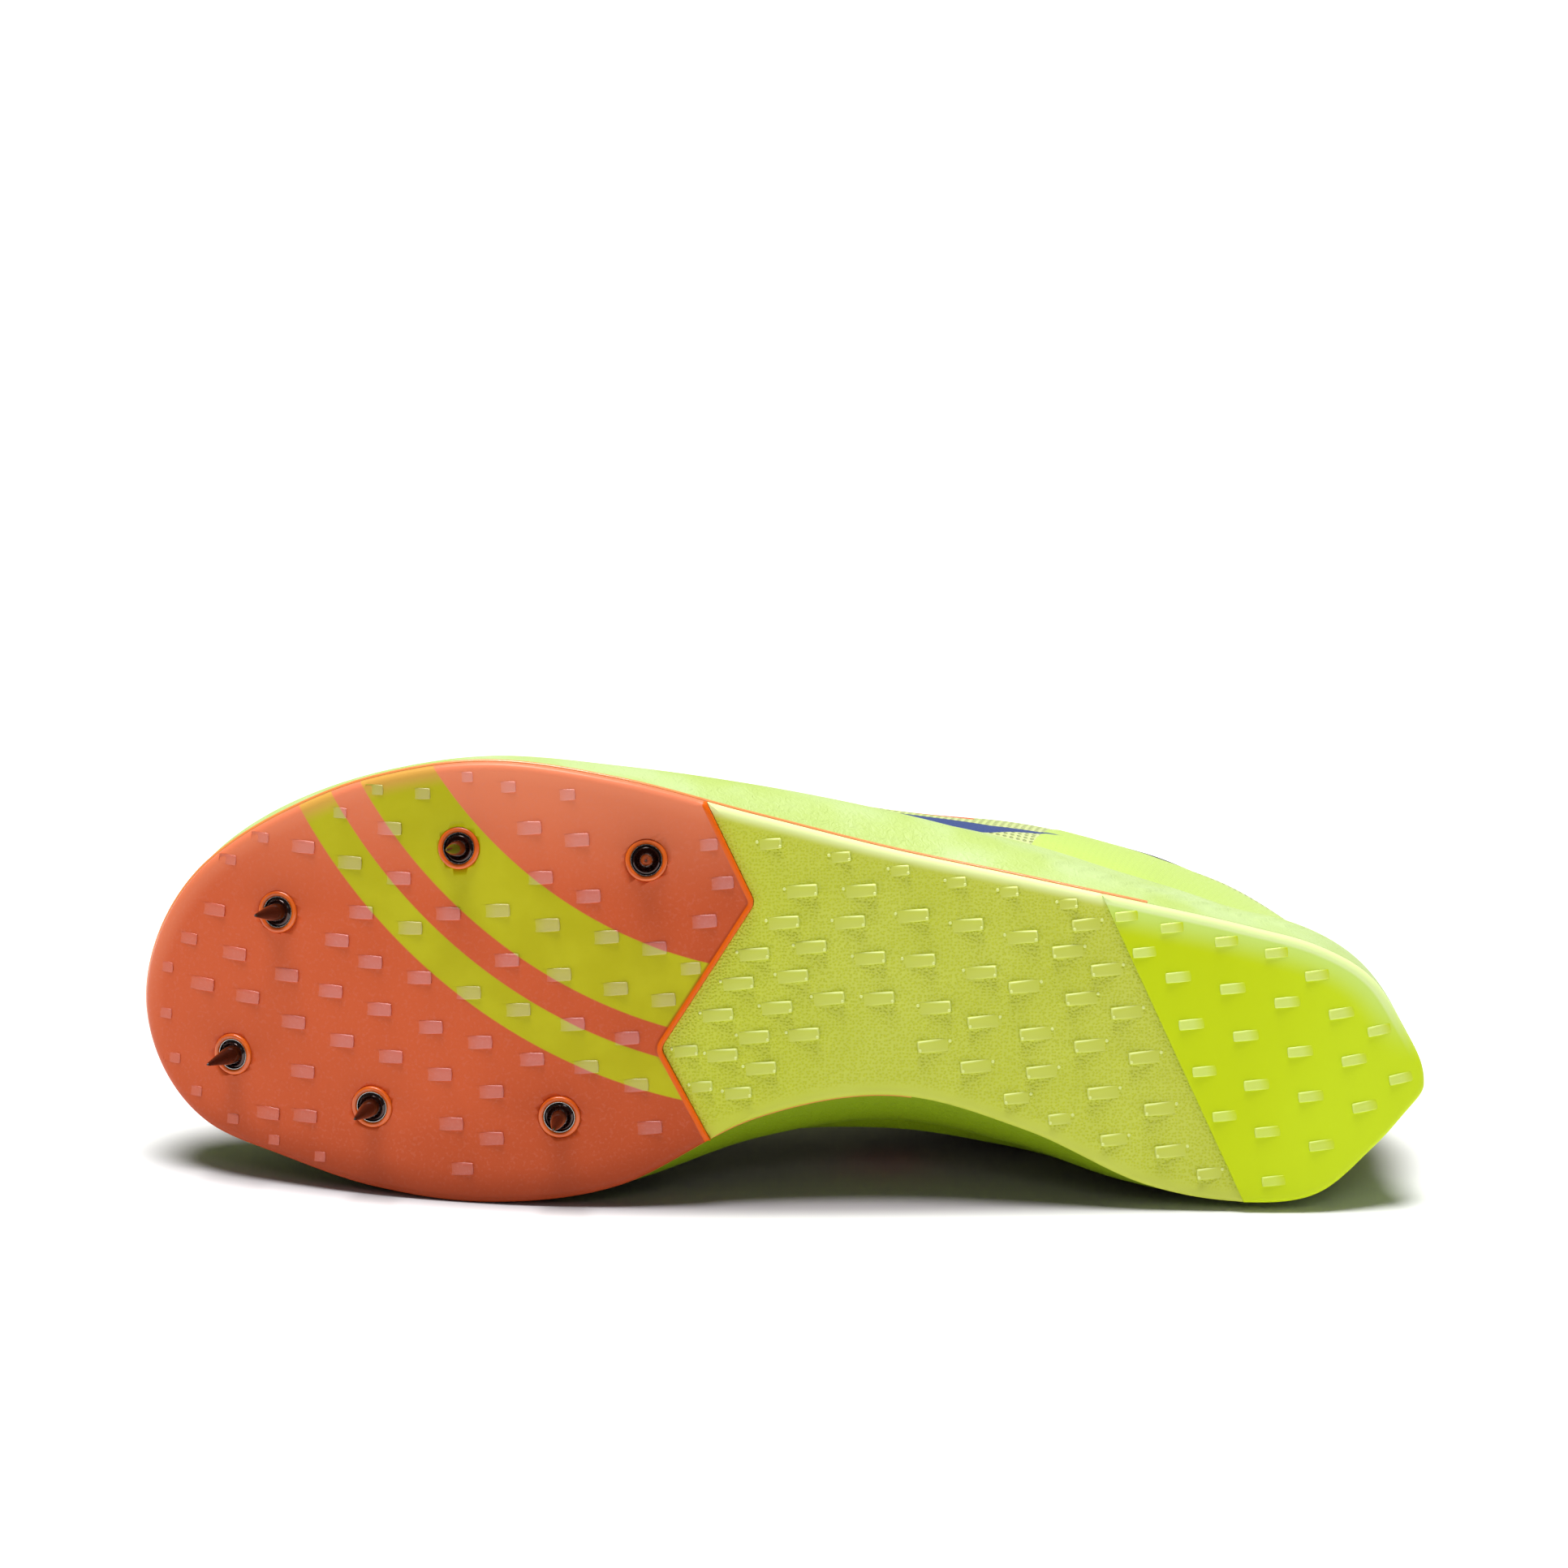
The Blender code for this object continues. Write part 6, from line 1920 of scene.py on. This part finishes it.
def out_of_eyelet(angle, lift):
    """Middle line of a lace from inside an eyelet up through it and along the rib to the throat's edge."""
    rise = np.linspace(DIP, lift, 6)[:-1]
    shares = np.linspace(EYELET_SHARE - 0.006, EYELET_SHARE + 0.012, 5)
    inside = upper_skin(np.full(5, angle), shares, rise)
    return np.concatenate([inside, up_the_rib(angle, EYELET_SHARE + 0.02, lift)])


def straight_run(start_angle, end_angle, lift):
    """Out of one eyelet, over the throat and into the other."""
    across = over_throat(start_angle, end_angle, lift, LACE_STEPS)
    return np.concatenate([out_of_eyelet(start_angle, lift), across, out_of_eyelet(end_angle, lift)[::-1]])


def crossing_run(start_angle, end_angle, lift, over):
    """Out of one eyelet, over the throat and under the far edge: a mean of a high and a low arch whose share
    moves smoothly from one to the other; at the crossing one lace is lifted and the other pressed down."""
    high = over_throat(start_angle, end_angle, lift, LACE_STEPS)
    low = over_throat(start_angle, end_angle, TUCK_DEPTH, LACE_STEPS)
    t = np.linspace(0, 1, LACE_STEPS)[:, None]
    share = np.clip(fade(t, 0.05, 0.95) - over * CROSS_SHARE * np.sin(math.pi * t) ** 2, 0, 1)
    tucked = up_the_rib(end_angle, EYELET_SHARE, TUCK_DEPTH)[::-1]
    return np.concatenate([out_of_eyelet(start_angle, lift), high + (low - high) * share, tucked])


print("a lace starts below the wall's face, mm:", -DIP)

# %% [markdown]
# A lace could be a curve with a bevel, but a flat lace has to keep its face to the foot, change its width
# at an eyelet and become thin where it is pressed. So a flat oval is carried along each run, and its two
# directions are worked out from the wall under it.

# %% Laces
LACE_WIDTH = 4.6
LACE_THICKNESS = 1.2
LACE_LIFT = 0.4
LACE_POINTS = 20
BUNCHED = 0.66
TUCK_THICKNESS = 0.5
SPREAD_RUN = (1.5, 7.0)
PRESS_RUN = (8.0, 14.0)
BRAID_PITCH = 1.1


def lace_band(path, start_angle, end_angle, tucked):
    """A flat oval carried along a path. It is narrow in an eyelet, widens over the first few millimetres,
    and is pressed thin where it lies under the far edge."""
    along = unit(np.gradient(path, axis=0))
    off, off_end = (upper_normal(np.array(end), np.array(NEAR_EDGE)) for end in (start_angle, end_angle))
    t = np.linspace(0, 1, len(path))[:, None]
    across = unit(np.cross(along, off * (1 - t) + off_end * t))
    up = unit(np.cross(across, along))
    run = np.concatenate([[0], np.cumsum(np.linalg.norm(np.diff(path, axis=0), axis=1))])
    to_eyelet = run if tucked else np.minimum(run, run[-1] - run)
    spread = BUNCHED + (1 - BUNCHED) * fade(to_eyelet, *SPREAD_RUN)
    thin = 1 - tucked * (1 - TUCK_THICKNESS) * (1 - fade(run[-1] - run, *PRESS_RUN))
    turn = TURN * np.arange(LACE_POINTS) / LACE_POINTS
    flat = np.sign(np.cos(turn)) * np.abs(np.cos(turn)) ** 0.55 * LACE_WIDTH / 2
    thick = np.sign(np.sin(turn)) * np.abs(np.sin(turn)) ** 0.8 * LACE_THICKNESS / 2
    wide = across[:, None] * (flat * spread[:, None])[..., None]
    deep = up[:, None] * (thick * thin[:, None])[..., None]
    count = len(path)
    caps = np.stack([np.arange(LACE_POINTS), np.arange(LACE_POINTS)[::-1] + (count - 1) * LACE_POINTS])
    places = np.stack(np.broadcast_arrays(run[:, None], flat, 0.0), -1)
    rings = path[:, None] + wide + deep
    part = same_way((rings.reshape(-1, 3), [grid_faces(count, LACE_POINTS)[:, ::-1], caps]))
    return part, places.reshape(-1, 3)


def lace_weave():
    """Braid: slanted waves of the place along and across the lace."""
    weave = new_finish("lace_weave", Roughness=0.8, Sheen_Weight=0.3)
    apart = wire(weave, "ShaderNodeSeparateXYZ", {"Vector": place(weave, "braid")})
    waves = slanted_waves(weave, apart.outputs["X"], apart.outputs["Y"], TURN / BRAID_PITCH)
    braid = ramp(weave, sums(weave, "MAXIMUM", *waves), -0.6, 1.0)
    drive(weave, "Base Color", blend(weave, braid, (0.42, 0.55, 0.03, 1.0), (0.66, 0.86, 0.12, 1.0)))
    drive(weave, "Normal", relief(weave, braid, 0.2))
    return weave


LACE = lace_weave()


def add_laces(name, bands, node):
    """One piece of several lace bands, with the place along and across each band kept for the braid."""
    data = add_mesh(name, *joined([part for part, _ in bands]))
    mark(data, "braid", np.concatenate([places for _, places in bands]))
    return add_piece(name, data, LACE, "lace", node)


outer_eyes = [float(loop_angle(OUTER, station)) for station in EYELET_STATIONS]
inner_eyes = [float(loop_angle(INNER, station)) for station in EYELET_STATIONS]
lace_lift = EYESTAY_STEP + LACE_LIFT + LACE_THICKNESS / 2
front_ends = (outer_eyes[0], inner_eyes[0])
add_laces("front_lace", [lace_band(straight_run(*front_ends, lace_lift), *front_ends, 0)], "lace_bar")
crossed = []
for k in range(1, len(EYELET_STATIONS) - 1):
    for ends, over in (((outer_eyes[k], inner_eyes[k + 1]), 1), ((inner_eyes[k], outer_eyes[k + 1]), -1)):
        crossed.append(lace_band(crossing_run(*ends, lace_lift, over), *ends, 1))
add_laces("crossed_laces", crossed, "lace_crossings")

# %% [markdown]
# ## Floor, light and camera
# The picture is a bright studio shot on white. A sun lamp with a wide spread, straight overhead, gives light
# that does not fall off, so the pale floor is white to its far end and the shadow under the shoe is dark
# and soft. The bright floor lights the sole from the front, and a small box puts glints on steel and
# rubber. A soft grey oval on the floor, under the shoe, is a painted shadow that keeps the bright foam from
# tinting its own shadow.

# %% Floor and light
FLOOR_SIZE = 8.0
FLOOR_DROP = 0.00005
PAINTED_SHADOW_SCALE = (1 / 0.17, 1 / 0.058, 0.0)
PAINTED_SHADOW_GREY = (0.29, 0.26, 0.29, 1.0)
ROOM_LIGHT = 0.12
SHOE_MIDDLE = (0.0, 0.0, 0.05)
HIGH_PLACE = (-0.15, 0.1, 2.0)
HIGH_STRENGTH = 5.4
HIGH_SPREAD = math.radians(34)
BOX_PLACE = (0.25, -1.3, 0.95)
BOX_SIZE = 0.3
BOX_POWER = 1.0


def pale_floor():
    """White, with a painted shadow where the shoe lies: a soft grey oval of its length and height."""
    floor = new_finish("pale_floor", Roughness=0.9, Specular_IOR_Level=0.1)
    where = wire(floor, "ShaderNodeTexCoord", {}).outputs["Object"]
    clouds = grain(floor, where, 3.0)
    white = blend(floor, clouds, (0.93, 0.93, 0.93, 1.0), (0.95, 0.95, 0.95, 1.0))
    # painted shadow: a grey oval under the shoe
    oval = wire(floor, "ShaderNodeVectorMath", {0: where, 1: PAINTED_SHADOW_SCALE}, operation="MULTIPLY")
    away = wire(floor, "ShaderNodeVectorMath", {0: oval.outputs["Vector"]}, operation="LENGTH")
    patch = ramp(floor, away.outputs["Value"], 0.7, 1.0, 0.9, 0.0)
    drive(floor, "Base Color", blend(floor, patch, white, PAINTED_SHADOW_GREY))
    return floor


half = FLOOR_SIZE / 2
floor_data = bpy.data.meshes.new("pale_floor")
floor_corners = [(-half, -half), (half, -half), (half, half), (-half, half)]
floor_data.from_pydata([(x, y, -FLOOR_DROP) for x, y in floor_corners], [], [(0, 1, 2, 3)])
floor_data.materials.append(pale_floor())
floor = bpy.data.objects.new("pale_floor", floor_data)
bpy.context.scene.collection.objects.link(floor)

scene = bpy.context.scene
scene.view_settings.view_transform = "Standard"
world = bpy.data.worlds.new("dim_room")
world.use_nodes = True
world.node_tree.nodes["Background"].inputs["Color"].default_value = (1.0, 1.0, 1.0, 1.0)
world.node_tree.nodes["Background"].inputs["Strength"].default_value = ROOM_LIGHT
scene.world = world


def add_light(name, kind, spot, aim, **settings):
    """Light at a spot, aimed at a point."""
    light = bpy.data.lights.new(name, kind)
    for key, value in settings.items():
        setattr(light, key, value)
    lamp = bpy.data.objects.new(name, light)
    scene.collection.objects.link(lamp)
    lamp.location = spot
    lamp.rotation_euler = (Vector(aim) - Vector(spot)).to_track_quat("-Z", "Y").to_euler()
    return lamp


add_light("high_sun", "SUN", HIGH_PLACE, SHOE_MIDDLE, energy=HIGH_STRENGTH, angle=HIGH_SPREAD)
add_light("front_box", "AREA", BOX_PLACE, SHOE_MIDDLE, energy=BOX_POWER, size=BOX_SIZE)

# %% [markdown]
# The camera looks at the sole from a little above, through a long lens, so that the outline is nearly
# free of perspective. Its distance, rise and roll were found by matching the outline and the spikes.

# %% Camera
CAMERA_DISTANCE = 1.5
CAMERA_RISE = math.radians(13.926)
CAMERA_AIM = Vector((0.00041, 0.0, 0.0860))
CAMERA_ROLL = math.radians(0.457)
CAMERA_LENS = 153.66

camera_data = bpy.data.cameras.new("camera")
camera_data.lens = CAMERA_LENS
camera_data.sensor_width = 36.0
camera_data.clip_start = 0.05
camera = bpy.data.objects.new("camera", camera_data)
scene.collection.objects.link(camera)
back = Vector((0.0, -math.cos(CAMERA_RISE), math.sin(CAMERA_RISE)))
facing = back.to_track_quat("Z", "Y").to_matrix().to_4x4()
stand_off = Matrix.Translation(CAMERA_AIM + back * CAMERA_DISTANCE)
camera.matrix_world = stand_off @ facing @ Matrix.Rotation(CAMERA_ROLL, 4, "Z")
scene.camera = camera
print("camera at", [round(value, 3) for value in camera.location])
